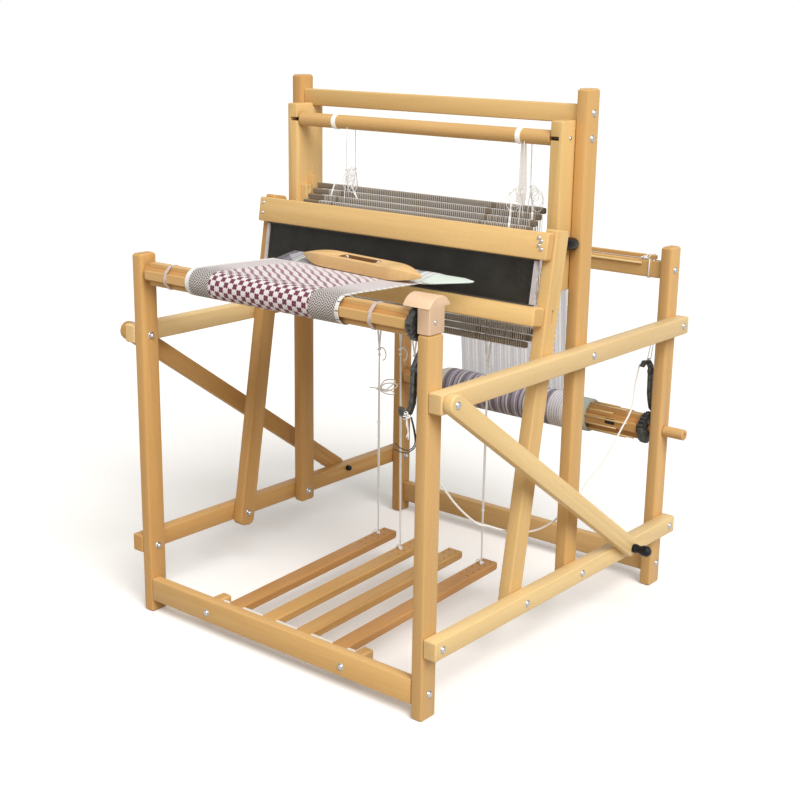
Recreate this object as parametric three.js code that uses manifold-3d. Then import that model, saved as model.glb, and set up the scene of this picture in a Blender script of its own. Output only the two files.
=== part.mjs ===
import * as THREE from 'three';
import { mergeVertices } from 'three/addons/utils/BufferGeometryUtils.js';
import Module from 'manifold-3d';

const wasm = await Module();
wasm.setup();

// Four-shaft floor loom with four treadles. X runs to the weaver's right, Y to the back, Z up.
// Millimetres; the floor is z = 0 and y = 0 is the front face of the front posts while building.

// Clearance between neighbouring pieces
const gap = 0.3;

// Side frames
const frameWidth = 760;
const frameDepth = 872;
const postWidth = 27;
const postDepth = 42;
const postHeight = 772;
const postEase = 4;
const railThick = 29;
const railHeight = 37;
const upperRailZ = 604;
const lowerRailZ = 148;
const edgeEase = 2;
const braceThick = 19;
const braceWidth = 38;
const braceFootY = 657;
const crossHeight = 50;
const crossThick = 22;
const crossBottomZ = 28;

// Castle over the middle of the loom
const castleY = 487;
const castleTopZ = 1111;
const castleFootZ = 124;
const castleRailHeight = 35;
const castleRailThick = 22;
const castleRailTopZ = 1081.5;
const cheekThick = 27;
const cheekReach = 42;
const cheekFootZ = 730;
const cheekTopZ = 1052.7;
const cheekSlotDeep = 19;

// Roller that hangs the four shafts
const rollerRadius = 14.6;
const rollerPin = 3.5;
const rollerPinLong = 18;
const rollerY = 440;
const rollerZ = 1019.5;
const cordRadius = 1.6;
const hangX = { left: -183, right: 266 };
const hangKnotZ = 922;

// Shafts with string heddles
const shaftPitch = 15;
const shaftHalf = 298;
const shaftBarDeep = 9;
const shaftBarHigh = 12;
const shaftTopZ = 861.3;
const shaftFootZ = 635.3;
const shaftStep = 10.7;
const heddleThick = 1.8;

// Beater, pivoted low on the side rails and leaning back on its bumpers
const pivotY = 288;
const beaterLean = THREE.MathUtils.degToRad(9.2);
const armThick = 26.4;
const armDeep = 42;
const armTop = 716;
const armFoot = 30;
const slayHalf = 375;
const capThick = 22;
const capHigh = 52;
const capTop = 709;
const raceDeep = 37;
const raceHigh = 36;
const raceTop = 569;
const reedHalf = 352;
const reedThick = 9.4;
const reedSeat = 8;
const reedBaulk = 11;
const reedSet = 6;
const bumperRadius = 10;
const bumperAlong = 692;

// Dents, warp strips and heddles share one pitch, so each passes between the others
const dentPitch = 10;
const dentThick = 1.8;
const warpWide = 5.6;
const warpThick = 0.8;
const warpLeft = -21;
const warpRight = 17;

// Beams
const beamY = 20;
const beamZ = 733;
const beamCore = 17;
const stickWide = 14;
const stickOut = 23;
const axleRadius = 8;
const clothThick = 1.4;
const clothWraps = 1.9;
const fellY = 236;
const backBeamHigh = 36;
const backBeamDeep = 24;
const backBeamTopZ = 738;
const warpBeamInset = 22;
const warpBeamZ = 364;
const warpCore = 20;
const warpRollRadius = 42;
const warpStickOut = 28;
const warpAxleEnd = 50;
const ratchetThick = 13;
const clothTeeth = 20;
const clothRatchet = 31;
const warpTeeth = 24;
const warpRatchet = 36;
const toothDeep = 4.5;
const noseDeep = 2;
const seatTurn = THREE.MathUtils.degToRad(3);
const bandInset = 52.7;

// Treadles
const treadleWide = 38;
const treadleThick = 18;
const treadlePitch = 95;
const treadleMidX = 4.5;
const treadleY = 41;
const treadleZ = 60;
const treadleLong = 494;
const treadleSlope = THREE.MathUtils.degToRad(2.8);
const tieAlong = [450, 414, 405, 460];
const tieHeadX = [-86, -52, 5, 184];
const tieForkZ = 548;
const rodRadius = 4;
const spacerRadius = 7.5;
const bracketThick = 24;
const bracketDeep = 40;
const bracketTopZ = 72;
const bracketFootZ = 36;

// Shuttle and shed sword
const shuttleLong = 344;
const shuttleWide = 44;
const shuttleHigh = 25;
const shuttleStraight = 88;
const shuttleTip = 12;
const shuttleX = 28;
const shuttleY = 229;
const shuttleZ = 757;
const shuttleTurn = THREE.MathUtils.degToRad(-7);
const shuttleRoll = THREE.MathUtils.degToRad(4);
const quillRadius = 5.5;
const swordWide = 52;
const swordThick = 4;
const swordRise = 9;
const swordLeftX = -205;
const swordRightX = 262;

// Worked out from the sizes above
const half = frameWidth / 2;
const postX = half - postWidth / 2;
const rearY = frameDepth - postDepth;
const warpBeamY = frameDepth - warpBeamInset;
const railX = half + gap + railThick / 2;
const braceX = half + railThick + 2 * gap + braceThick / 2;
const castleFront = castleY - postDepth / 2;
const castleBack = castleY + postDepth / 2;
const between = frameWidth - 2 * postWidth - 2 * gap;
const clothInner = Math.hypot(stickOut, stickWide / 2) + 2 * gap;
const clothOuter = clothInner + clothWraps;
const clothTopZ = beamZ + clothOuter + gap;
const warpZ = (y) => {
  const t = (y - fellY) / (rearY + 8 - fellY);
  return clothTopZ - 7.5 + (backBeamTopZ + gap + warpThick / 2 - clothTopZ + 7.5) * t;
};

const beech = new THREE.MeshStandardMaterial({ color: 0xdfb57a, roughness: 0.45, metalness: 0 });
const paleBeech = new THREE.MeshStandardMaterial({ color: 0xe6c6a2, roughness: 0.5, metalness: 0 });
const castIron = new THREE.MeshStandardMaterial({ color: 0x3a3b3c, roughness: 0.6, metalness: 0.7 });
const steel = new THREE.MeshStandardMaterial({ color: 0xb9bcc0, roughness: 0.35, metalness: 0.9 });
const black = new THREE.MeshStandardMaterial({ color: 0x17191b, roughness: 0.5, metalness: 0 });
const reedGrey = new THREE.MeshStandardMaterial({ color: 0x3d3c38, roughness: 0.6, metalness: 0.3 });
const heddleGrey = new THREE.MeshStandardMaterial({ color: 0x857b6c, roughness: 0.8, metalness: 0 });
const cotton = new THREE.MeshStandardMaterial({ color: 0xf0efe9, roughness: 0.85, metalness: 0 });
const cloth = new THREE.MeshStandardMaterial({ color: 0xd9cfd2, roughness: 0.9, metalness: 0 });
const warpYarn = new THREE.MeshStandardMaterial({ color: 0x9d90a4, roughness: 0.85, metalness: 0 });
const swordPaint = new THREE.MeshStandardMaterial({ color: 0xdfe8df, roughness: 0.5, metalness: 0 });
const quillYarn = new THREE.MeshStandardMaterial({ color: 0xa2604a, roughness: 0.8, metalness: 0 });

const loom = new THREE.Group();

// Boolean joins and cuts on merged meshes
function toSolid(geometry) {
  const bare = geometry.index ? geometry.toNonIndexed() : geometry.clone();
  bare.deleteAttribute('normal');
  bare.deleteAttribute('uv');
  const merged = mergeVertices(bare, 1e-4);
  const kept = [];
  const index = merged.index.array;
  for (let i = 0; i < index.length; i += 3) {
    const [a, b, c] = [index[i], index[i + 1], index[i + 2]];
    if (a !== b && b !== c && c !== a) {
      kept.push(a, b, c);
    }
  }
  const mesh = new wasm.Mesh({
    numProp: 3,
    vertProperties: new Float32Array(merged.attributes.position.array),
    triVerts: new Uint32Array(kept),
  });
  return new wasm.Manifold(mesh);
}

function toGeometry(solid) {
  const mesh = solid.getMesh();
  const geometry = new THREE.BufferGeometry();
  geometry.setAttribute('position', new THREE.BufferAttribute(mesh.vertProperties, 3));
  geometry.setIndex(new THREE.BufferAttribute(mesh.triVerts, 1));
  return geometry;
}

function join(...geometries) {
  return toGeometry(geometries.map(toSolid).reduce((sum, part) => sum.add(part)));
}

function cut(geometry, ...tools) {
  return toGeometry(tools.map(toSolid).reduce((rest, tool) => rest.subtract(tool), toSolid(geometry)));
}

function meet(a, b) {
  return toGeometry(toSolid(a).intersect(toSolid(b)));
}

function place(name, geometry, material) {
  const mesh = new THREE.Mesh(toGeometry(toSolid(geometry)), material);
  mesh.name = name;
  loom.add(mesh);
  return mesh;
}

// A shape in the plane across `axis`, pushed along that axis and centred on it
function push(shape, axis, length, ease = 0, curve = 3) {
  const options = { depth: length - 2 * ease, bevelEnabled: ease > 0, curveSegments: curve };
  if (ease > 0) {
    Object.assign(options, { bevelThickness: ease, bevelSize: ease, bevelOffset: -ease, bevelSegments: 1 });
  }
  const geometry = new THREE.ExtrudeGeometry(shape, options);
  geometry.translate(0, 0, ease - length / 2);
  if (axis === 'x') {
    geometry.applyMatrix4(new THREE.Matrix4().makeBasis(
      new THREE.Vector3(0, 1, 0), new THREE.Vector3(0, 0, 1), new THREE.Vector3(1, 0, 0)));
  }
  if (axis === 'y') {
    geometry.applyMatrix4(new THREE.Matrix4().makeBasis(
      new THREE.Vector3(0, 0, 1), new THREE.Vector3(1, 0, 0), new THREE.Vector3(0, 1, 0)));
  }
  return geometry;
}

function roundedRect(width, height, radius) {
  const [w, h] = [width / 2, height / 2];
  const shape = new THREE.Shape();
  shape.moveTo(-w + radius, -h);
  shape.lineTo(w - radius, -h);
  shape.absarc(w - radius, -h + radius, radius, -Math.PI / 2, 0);
  shape.lineTo(w, h - radius);
  shape.absarc(w - radius, h - radius, radius, 0, Math.PI / 2);
  shape.lineTo(-w + radius, h);
  shape.absarc(-w + radius, h - radius, radius, Math.PI / 2, Math.PI);
  shape.lineTo(-w, -h + radius);
  shape.absarc(-w + radius, -h + radius, radius, Math.PI, Math.PI * 1.5);
  return shape;
}

// An eased wooden bar between two corners of its box
function bar(axis, [x0, x1], [y0, y1], [z0, z1], ease = edgeEase) {
  const [dx, dy, dz] = [x1 - x0, y1 - y0, z1 - z0];
  const sides = { x: [dy, dz, dx], y: [dz, dx, dy], z: [dx, dy, dz] }[axis];
  const geometry = push(roundedRect(sides[0], sides[1], ease + 0.6), axis, sides[2], ease, 1);
  return geometry.translate((x0 + x1) / 2, (y0 + y1) / 2, (z0 + z1) / 2);
}

function box([x0, x1], [y0, y1], [z0, z1]) {
  const geometry = new THREE.BoxGeometry(x1 - x0, y1 - y0, z1 - z0);
  return geometry.translate((x0 + x1) / 2, (y0 + y1) / 2, (z0 + z1) / 2);
}

// A lathe whose seam columns share their exact points
function lathe(points, sides) {
  const geometry = new THREE.LatheGeometry(points, sides);
  const place3 = geometry.attributes.position;
  const rows = points.length;
  for (let j = 0; j < rows; j += 1) {
    place3.setXYZ(sides * rows + j, place3.getX(j), place3.getY(j), place3.getZ(j));
  }
  return geometry;
}

// A round body turned about a line along X, from pairs of x and radius
function turned(profile, y, z, sides = 20) {
  const points = profile.map(([x, r]) => new THREE.Vector2(r, x));
  const geometry = lathe(points, sides);
  geometry.rotateZ(-Math.PI / 2);
  return geometry.translate(0, y, z);
}

function pin(x0, x1, radius, y, z, sides = 12) {
  return turned([[x0, 0], [x0, radius], [x1, radius], [x1, 0]], y, z, sides);
}

// A cord of six sides along straight or smooth runs
function cord(points, radius, smooth = false) {
  const path = new THREE.CurvePath();
  if (smooth) {
    path.add(new THREE.CatmullRomCurve3(points, false, 'centripetal'));
  } else {
    for (let i = 1; i < points.length; i += 1) {
      path.add(new THREE.LineCurve3(points[i - 1], points[i]));
    }
  }
  const section = new THREE.Shape();
  for (let i = 0; i < 6; i += 1) {
    const a = (i / 6) * Math.PI * 2;
    const [x, y] = [Math.cos(a) * radius, Math.sin(a) * radius];
    if (i === 0) {
      section.moveTo(x, y);
    } else {
      section.lineTo(x, y);
    }
  }
  const curve = smooth ? path.curves[0] : path;
  const steps = smooth ? 48 : Math.max(1, points.length - 1);
  return new THREE.ExtrudeGeometry(section, { steps, bevelEnabled: false, extrudePath: curve });
}

function strand(a, b, radius) {
  return cord([a, b], radius);
}

function knot(center, radius) {
  const geometry = new THREE.SphereGeometry(radius, 8, 5);
  return geometry.translate(center.x, center.y, center.z);
}

const v3 = (x, y, z) => new THREE.Vector3(x, y, z);
const sides = [['left', -1], ['right', 1]];

// Corner posts; the right front one is shorter and carries the bearing block
for (const [side, s] of sides) {
  const xs = [s * postX - postWidth / 2, s * postX + postWidth / 2];
  const blockFoot = beamZ - 14;
  const frontTop = s > 0 ? blockFoot : postHeight;
  const front = bar('z', xs, [0, postDepth], [0, frontTop], postEase);
  const frontHole = pin(xs[0] - 1, xs[1] + 1, axleRadius + 2 * gap, beamY, beamZ, 16);
  place(`post_front_${side}`, s > 0 ? front : cut(front, frontHole), beech);
  const rear = bar('z', xs, [rearY, frameDepth], [0, postHeight], postEase);
  const rearHole = pin(xs[0] - 1, xs[1] + 1, axleRadius + 2 * gap, warpBeamY, warpBeamZ, 16);
  place(`post_rear_${side}`, cut(rear, rearHole), beech);
}

// Side rails outside the posts, with the hole for the brace bolt in the lower one
const boltRadius = 4;
const braceSlope = Math.atan2(upperRailZ - (lowerRailZ + 10), braceFootY - postDepth / 2);
const braceFootZ = upperRailZ - Math.tan(braceSlope) * (braceFootY - postDepth / 2);
for (const [side, s] of sides) {
  const xs = [s * railX - railThick / 2, s * railX + railThick / 2];
  const tall = (z) => [z - railHeight / 2, z + railHeight / 2];
  place(`upper_rail_${side}`, bar('y', xs, [0, frameDepth], tall(upperRailZ)), beech);
  const bolt = pin(xs[0] - 1, xs[1] + 1, boltRadius + gap, braceFootY, braceFootZ);
  place(`lower_rail_${side}`, cut(bar('y', xs, [0, frameDepth], tall(lowerRailZ)), bolt), beech);
}

// Diagonal braces with round ends, held at the foot by a hand knob
for (const [side, s] of sides) {
  const run = Math.hypot(braceFootY - postDepth / 2, upperRailZ - braceFootZ);
  const r = braceWidth / 2;
  const outline = new THREE.Shape();
  outline.absarc(0, 0, r, Math.PI / 2, Math.PI * 1.5);
  outline.absarc(run, 0, r, -Math.PI / 2, Math.PI / 2);
  const strip = push(outline, 'x', braceThick, edgeEase, 6);
  strip.rotateX(-braceSlope);
  strip.translate(s * braceX, postDepth / 2, upperRailZ);
  const inner = s * braceX - braceThick / 2 - 1;
  const hole = pin(inner, inner + braceThick + 2, boltRadius + gap, braceFootY, braceFootZ);
  place(`brace_${side}`, cut(strip, hole), beech);
  const outer = half + railThick + 2 * gap + braceThick + gap;
  const out = [
    [half - 10, 0], [half - 9, 6], [half - gap, 7], [half, boltRadius],
    [outer, boltRadius], [outer, 9], [outer + 5, 10], [outer + 14, 8],
    [outer + 24, 11.5], [outer + 34, 11.5], [outer + 40, 6], [outer + 41, 0],
  ];
  const knob = turned(out, braceFootY, braceFootZ, 14);
  if (s < 0) {
    knob.applyMatrix4(new THREE.Matrix4().makeRotationZ(Math.PI));
    knob.translate(0, 2 * braceFootY, 0);
  }
  place(`brace_knob_${side}`, knob, black);
}

// Cross rails near the floor
const crossX = [-between / 2, between / 2];
const crossZ = [crossBottomZ, crossBottomZ + crossHeight];
place('front_cross_rail', bar('x', crossX, [0, crossThick], crossZ), beech);
place('rear_cross_rail', bar('x', crossX, [frameDepth - 6 - crossThick, frameDepth - 6], crossZ), beech);

// Castle posts stop just under the lower rails, with the top rail between them
for (const [side, s] of sides) {
  const xs = [s * postX - postWidth / 2, s * postX + postWidth / 2];
  place(`castle_post_${side}`, bar('z', xs, [castleFront, castleBack], [castleFootZ, castleTopZ], postEase), beech);
}
const castleRailY = [castleY - castleRailThick / 2, castleY + castleRailThick / 2];
const castleRailZ = [castleRailTopZ - castleRailHeight, castleRailTopZ];
place('castle_rail', bar('x', crossX, castleRailY, castleRailZ), beech);

// Cheek boards inside the castle posts, notched under the rail, with a slot in the inner face that
// is open to the front for the roller's pin
for (const [side, s] of sides) {
  const outer = half - postWidth - gap;
  const xs = [Math.min(s * outer, s * (outer - cheekThick)), Math.max(s * outer, s * (outer - cheekThick))];
  const front = castleFront - cheekReach;
  const board = bar('z', xs, [front, castleBack], [cheekFootZ, cheekTopZ]);
  const notch = box([xs[0] - 1, xs[1] + 1], [castleRailY[0] - gap, castleBack + 1],
    [castleRailZ[0] - gap, cheekTopZ + 1]);
  const slotTall = rollerPin + gap;
  const inner = s * (outer - cheekThick - 1);
  const deep = s * (outer - cheekThick + cheekSlotDeep);
  const slotX = [Math.min(inner, deep), Math.max(inner, deep)];
  const slot = box(slotX, [front - 1, rollerY], [rollerZ - slotTall, rollerZ + slotTall]);
  const seat = pin(slotX[0], slotX[1], slotTall, rollerY, rollerZ, 16);
  place(`castle_cheek_${side}`, cut(board, notch, slot, seat), beech);
}

// Roller with its pins and the two cord windings that turn with it
const rollerHalf = half - postWidth - 2 * gap - cheekThick - 3;
const windings = [];
for (const x0 of [hangX.left, hangX.right]) {
  const w = cordRadius * 2;
  for (const k of [-1, 0, 1]) {
    const x = x0 + k * w;
    windings.push([x - w / 2 + 0.1, rollerRadius], [x, rollerRadius + cordRadius * 1.6]);
    if (k === 1) {
      windings.push([x + w / 2, rollerRadius]);
    }
  }
}
place('roller', turned([
  [-rollerHalf - rollerPinLong, 0], [-rollerHalf - rollerPinLong, rollerPin], [-rollerHalf, rollerPin],
  [-rollerHalf, rollerRadius - 1.5],
  [-rollerHalf + 1.5, rollerRadius], ...windings, [rollerHalf - 1.5, rollerRadius],
  [rollerHalf, rollerRadius - 1.5], [rollerHalf, rollerPin], [rollerHalf + rollerPinLong, rollerPin],
  [rollerHalf + rollerPinLong, 0],
], rollerY, rollerZ, 16), beech);

// Four shafts: two bars each, with string heddles that pass between the warp strips. Each hangs a
// step higher than the one in front of it.
const shaftY = [0, 1, 2, 3].map((i) => rollerY + (i - 1.5) * shaftPitch);
const shaftTop = [0, 1, 2, 3].map((i) => shaftTopZ + (i - 1.5) * shaftStep);
const shaftFoot = [0, 1, 2, 3].map((i) => shaftFootZ + (i - 1.5) * shaftStep);
shaftY.forEach((y, i) => {
  const reach = [-shaftHalf, shaftHalf];
  const deep = [y - shaftBarDeep / 2, y + shaftBarDeep / 2];
  const upper = bar('x', reach, deep, [shaftTop[i] - shaftBarHigh / 2, shaftTop[i] + shaftBarHigh / 2], 1.5);
  const lower = bar('x', reach, deep, [shaftFoot[i] - shaftBarHigh / 2, shaftFoot[i] + shaftBarHigh / 2], 1.5);
  const strings = [];
  for (let k = -28 + i; k <= 29; k += 4) {
    const x = k * dentPitch;
    strings.push(box([x - heddleThick / 2, x + heddleThick / 2], [y - heddleThick / 2, y + heddleThick / 2],
      [shaftFoot[i], shaftTop[i]]));
  }
  place(`shaft_${i + 1}`, join(upper, lower, ...strings), heddleGrey);
});

// Hanging cords: each drops from the roller to a knot and forks to its pair of shafts
for (const [pair, first, s] of [['front', 0, -1], ['back', 2, 1]]) {
  for (const [side] of sides) {
    const x = hangX[side];
    const y = rollerY + s * (rollerRadius + cordRadius * 2.6 + gap);
    const mid = (shaftY[first] + shaftY[first + 1]) / 2;
    const tie = v3(x, mid, hangKnotZ);
    const parts = [strand(v3(x, y, rollerZ), tie, cordRadius), knot(tie, 5)];
    for (const k of [first, first + 1]) {
      parts.push(strand(tie, v3(x, shaftY[k], shaftTop[k] + shaftBarHigh / 2 + gap), cordRadius));
    }
    place(`hang_cord_${pair}_${side}`, join(...parts), cotton);
  }
}

// Beater pieces are laid out along the arm, then leaned back about the pivot
function lean(geometry) {
  geometry.rotateX(-beaterLean);
  return geometry.translate(0, pivotY, lowerRailZ);
}
const armOuter = half - gap - 0.3;
for (const [side, s] of sides) {
  const outline = new THREE.Shape();
  const d = armDeep / 2;
  outline.moveTo(d - 6, armTop);
  outline.lineTo(-d + 3, armTop);
  outline.lineTo(-d, armTop - 3);
  outline.lineTo(-d, -armFoot + 14);
  outline.absarc(-d + 14, -armFoot + 14, 14, Math.PI, Math.PI * 1.5);
  outline.absarc(d - 14, -armFoot + 14, 14, -Math.PI / 2, 0);
  outline.lineTo(d, armTop - 6);
  outline.closePath();
  const arm = push(outline, 'x', armThick, edgeEase, 4);
  arm.translate(s * (armOuter - armThick / 2), 0, 0);
  const slotX = [s * armOuter - 4, s * armOuter + 4];
  const slot = box(slotX, [-3, 3], [raceTop - raceHigh + 4, raceTop - 4]);
  const bumperEnd = (castleFront - gap - pivotY - (lowerRailZ + bumperAlong - lowerRailZ) * Math.sin(beaterLean))
    / Math.cos(beaterLean);
  const plug = lathe([
    new THREE.Vector2(0, d - 5), new THREE.Vector2(bumperRadius, d - 5),
    new THREE.Vector2(bumperRadius, bumperEnd - 8), new THREE.Vector2(bumperRadius - 2, bumperEnd - 3.5),
    new THREE.Vector2(bumperRadius - 5, bumperEnd - 1.4), new THREE.Vector2(0, bumperEnd - 1.2),
  ], 16);
  plug.translate(s * (armOuter - armThick / 2), 0, bumperAlong);
  place(`beater_arm_${side}`, lean(join(cut(arm, slot), plug)), beech);
}

const slayFront = -armDeep / 2 - gap;
const reedMid = slayFront - capThick / 2 + 2;
const reedSlot = (z0, z1) => box([-reedHalf - gap, reedHalf + gap],
  [reedMid - reedThick / 2 - gap, reedMid + reedThick / 2 + gap], [z0, z1]);
const capBar = bar('x', [-slayHalf, slayHalf], [slayFront - capThick, slayFront], [capTop - capHigh, capTop], 3);
const capSlot = reedSlot(capTop - capHigh - 5, capTop - capHigh + reedSeat + gap);
place('beater_cap', lean(cut(capBar, capSlot)), beech);
const raceBar = bar('x', [-slayHalf, slayHalf], [slayFront - raceDeep, slayFront], [raceTop - raceHigh, raceTop], 3);
const raceSlot = reedSlot(raceTop - reedSeat - gap, raceTop + 5);
place('race_rail', lean(cut(raceBar, raceSlot)), beech);

// Reed: end strips and dents between two baulks, seated in the race and the cap
const reedFoot = raceTop - reedSeat;
const reedHead = capTop - capHigh + reedSeat;
const reedY = [reedMid - reedThick / 2, reedMid + reedThick / 2];
const reedParts = [
  box([-reedHalf, reedHalf], reedY, [reedFoot, reedFoot + reedBaulk]),
  box([-reedHalf, reedHalf], reedY, [reedHead - reedBaulk, reedHead]),
];
const lastDent = Math.floor((reedHalf - reedSet) / dentPitch);
for (let k = -lastDent; k <= lastDent; k += 1) {
  const width = Math.abs(k) === lastDent ? reedSet : dentThick;
  const x = Math.abs(k) === lastDent ? Math.sign(k) * (reedHalf - width / 2) : k * dentPitch;
  reedParts.push(box([x - width / 2, x + width / 2], reedY, [reedFoot, reedHead]));
}
const reed = join(...reedParts);
place('reed', lean(reed), reedGrey);

// Toothed wheels: `hand` is 1 where the steep faces hold against a turn from Y towards Z, or -1
function ratchet(teeth, radius, hand, x0, x1, y, z, bore) {
  const points = [];
  for (let i = 0; i < teeth; i += 1) {
    const a = hand * (i / teeth) * Math.PI * 2;
    const b = hand * ((i + 0.85) / teeth) * Math.PI * 2;
    points.push(new THREE.Vector2(Math.cos(a) * (radius - toothDeep), Math.sin(a) * (radius - toothDeep)));
    points.push(new THREE.Vector2(Math.cos(b) * radius, Math.sin(b) * radius));
  }
  const outline = new THREE.Shape(hand > 0 ? points : points.reverse());
  const hole = new THREE.Path();
  hole.absarc(0, 0, bore + gap, 0, Math.PI * 2, true);
  outline.holes.push(hole);
  const wheel = push(outline, 'x', x1 - x0, 0, 16);
  return wheel.translate((x0 + x1) / 2, y, z);
}

// A winding beam: core, four sticks round it and tape bands that hold them, with its axle
function windingBeam(core, out, wide, x0, x1, axle0, axle1, y, z, bands) {
  const body = turned([[x0, 0], [x0, core - 1], [x0 + 1, core], [x1 - 1, core], [x1, core - 1], [x1, 0]], y, z, 16);
  const parts = [body, pin(axle0, axle1, axleRadius, y, z, 16)];
  for (let q = 0; q < 4; q += 1) {
    const stick = box([x0 + 12, x1 - 6], [-wide / 2, wide / 2], [core - 2, out]);
    stick.rotateX((q * Math.PI) / 2);
    parts.push(stick.translate(0, y, z));
  }
  for (const x of bands) {
    parts.push(turned([[x - 8, 0], [x - 8, out + 0.8], [x + 8, out + 0.8], [x + 8, 0]], y, z, 16));
  }
  return join(...parts);
}

// Cloth beam, its ratchet, and the cloth wound on it
const bearingX = half - postWidth - gap;
const ratchetEnd = bearingX - 5;
const ratchetFront = ratchetEnd - ratchetThick;
const clothLeftX = (warpLeft + 0.5) * dentPitch - 11;
const clothRightX = (warpRight + 0.5) * dentPitch + 5;
place('cloth_beam', windingBeam(beamCore, stickOut, stickWide, -bearingX + 2, ratchetFront - gap,
  -half + 6, half - 7, beamY, beamZ, [clothLeftX - 62, clothRightX + 70]), beech);
place('cloth_ratchet', ratchet(clothTeeth, clothRatchet, -1, ratchetFront, ratchetEnd, beamY, beamZ, axleRadius),
  castIron);
place('cloth_roll', turned([
  [clothLeftX, clothInner], [clothLeftX, clothOuter], [clothRightX, clothOuter], [clothRightX, clothInner],
  [clothLeftX, clothInner],
], beamY, beamZ, 28), cloth);

// Bearing block on the right front post, arched over the ratchet
const arcY = beamY + 8;
const arcZ = beamZ + 19.5;
const arcRadius = 32.5;
const eaveZ = beamZ + 32;
const arcThick = 9;
const roofOuter = new THREE.Shape();
const eaveAngle = Math.asin((eaveZ - arcZ) / arcRadius);
roofOuter.absarc(arcY, arcZ, arcRadius, eaveAngle, Math.PI - eaveAngle);
const innerAngle = Math.asin((eaveZ - arcZ) / (arcRadius - arcThick));
roofOuter.absarc(arcY, arcZ, arcRadius - arcThick, Math.PI - innerAngle, innerAngle, true);
roofOuter.closePath();
const solidRoof = new THREE.Shape();
solidRoof.absarc(arcY, arcZ, arcRadius, eaveAngle, Math.PI - eaveAngle);
solidRoof.closePath();
const roofX = [half - postWidth - 31, half];
const roof = push(roofOuter, 'x', roofX[1] - roofX[0], 1.5, 9);
roof.translate((roofX[0] + roofX[1]) / 2, 0, 0);
const cheeksX = [half - postWidth, half];
const core = push(solidRoof, 'x', postWidth, 1.5, 9);
core.translate((cheeksX[0] + cheeksX[1]) / 2, 0, 0);
const block = bar('z', cheeksX, [0, postDepth], [beamZ - 14 + gap, eaveZ + 4], 1.5);
const blockBore = pin(cheeksX[0] - 1, cheeksX[1] - 5, axleRadius + 2 * gap, beamY, beamZ, 16);
place('bearing_block', cut(join(roof, core, block), blockBore), paleBeech);

// Pawls: a lever with a pointed nose, a hook for its cord and a pivot pin to the post
function pawl(points, x0, x1, pivot, postFace) {
  const outline = new THREE.Shape();
  points.forEach(([y, z], i) => {
    if (i === 0) {
      outline.moveTo(y, z);
    } else {
      outline.lineTo(y, z);
    }
  });
  outline.closePath();
  const lever = push(outline, 'x', x1 - x0, 0, 4);
  lever.translate((x0 + x1) / 2, 0, 0);
  const hub = pin(x0 - 2, postFace - gap, 7, pivot[0], pivot[1], 12);
  return join(lever, hub);
}

// A nose seats between two teeth, a little way up the slanted back, after the pawl has turned by
// seatTurn. Before that it lies just off the tips of the teeth, so its wheel can turn past it.
function noseRest(teeth, radius, hand, index, [y, z], [pivotY0, pivotZ0]) {
  const a = hand * ((index + 0.3) / teeth) * Math.PI * 2;
  const dy = y + Math.cos(a) * (radius - noseDeep) - pivotY0;
  const dz = z + Math.sin(a) * (radius - noseDeep) - pivotZ0;
  const [c, q] = [Math.cos(hand * seatTurn), Math.sin(hand * seatTurn)];
  return [pivotY0 + dy * c - dz * q, pivotZ0 + dy * q + dz * c];
}
const pawlTopZ = beamZ - clothRatchet - gap;
const pawlPivot = [beamY - 7, pawlTopZ - 48];
place('cloth_pawl', pawl([
  noseRest(clothTeeth, clothRatchet, -1, 3, [beamY, beamZ], pawlPivot),
  [beamY + 17, pawlTopZ - 5], [beamY + 9, pawlTopZ - 24], [beamY + 1, pawlTopZ - 40], [beamY - 2, pawlTopZ - 52],
  [beamY - 6, pawlTopZ - 80], [beamY - 9, pawlTopZ - 108], [beamY - 18, pawlTopZ - 124],
  [beamY - 34, pawlTopZ - 130], [beamY - 45, pawlTopZ - 122], [beamY - 47, pawlTopZ - 108],
  [beamY - 42, pawlTopZ - 107], [beamY - 38, pawlTopZ - 117], [beamY - 28, pawlTopZ - 120],
  [beamY - 20, pawlTopZ - 112], [beamY - 17, pawlTopZ - 98], [beamY - 16, pawlTopZ - 62],
  [beamY - 13, pawlTopZ - 42], [beamY - 7, pawlTopZ - 32], [beamY + 2, pawlTopZ - 20], [beamY + 8, pawlTopZ - 8],
], ratchetFront + 2, ratchetEnd - 2, pawlPivot, bearingX + gap), castIron);

// Warp beam, its ratchet and the wound warp on its paper
const warpRatchetX = [half - postWidth - gap - 9 - ratchetThick, half - postWidth - gap - 9];
place('warp_beam', windingBeam(warpCore, warpStickOut, stickWide, -bearingX + 2, warpRatchetX[0] - gap,
  -half + 4, half + warpAxleEnd, warpBeamY, warpBeamZ, [-bearingX + bandInset, bearingX - bandInset]), beech);
place('warp_ratchet', ratchet(warpTeeth, warpRatchet, 1, ...warpRatchetX, warpBeamY, warpBeamZ, axleRadius),
  castIron);
const rollInner = Math.hypot(warpStickOut, stickWide / 2) + 2 * gap;
const rollLeft = clothLeftX - 8;
const stripesEnd = clothRightX - 48;
place('warp_roll', turned([
  [rollLeft - 20, rollInner], [rollLeft - 20, rollInner + 3], [rollLeft, warpRollRadius],
  [stripesEnd, warpRollRadius],
  [stripesEnd + 4, warpRollRadius - 4], [stripesEnd + 62, warpRollRadius - 4], [stripesEnd + 63, rollInner + 5],
  [stripesEnd + 108, rollInner + 4], [stripesEnd + 108, rollInner], [rollLeft - 20, rollInner],
], warpBeamY, warpBeamZ, 28), warpYarn);
const tipZ = warpBeamZ + warpRatchet + gap;
const warpPawlX = [warpRatchetX[0] + 2, warpRatchetX[1] - 2];
const warpPawlPivot = [warpBeamY + 2, tipZ + 92];
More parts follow.
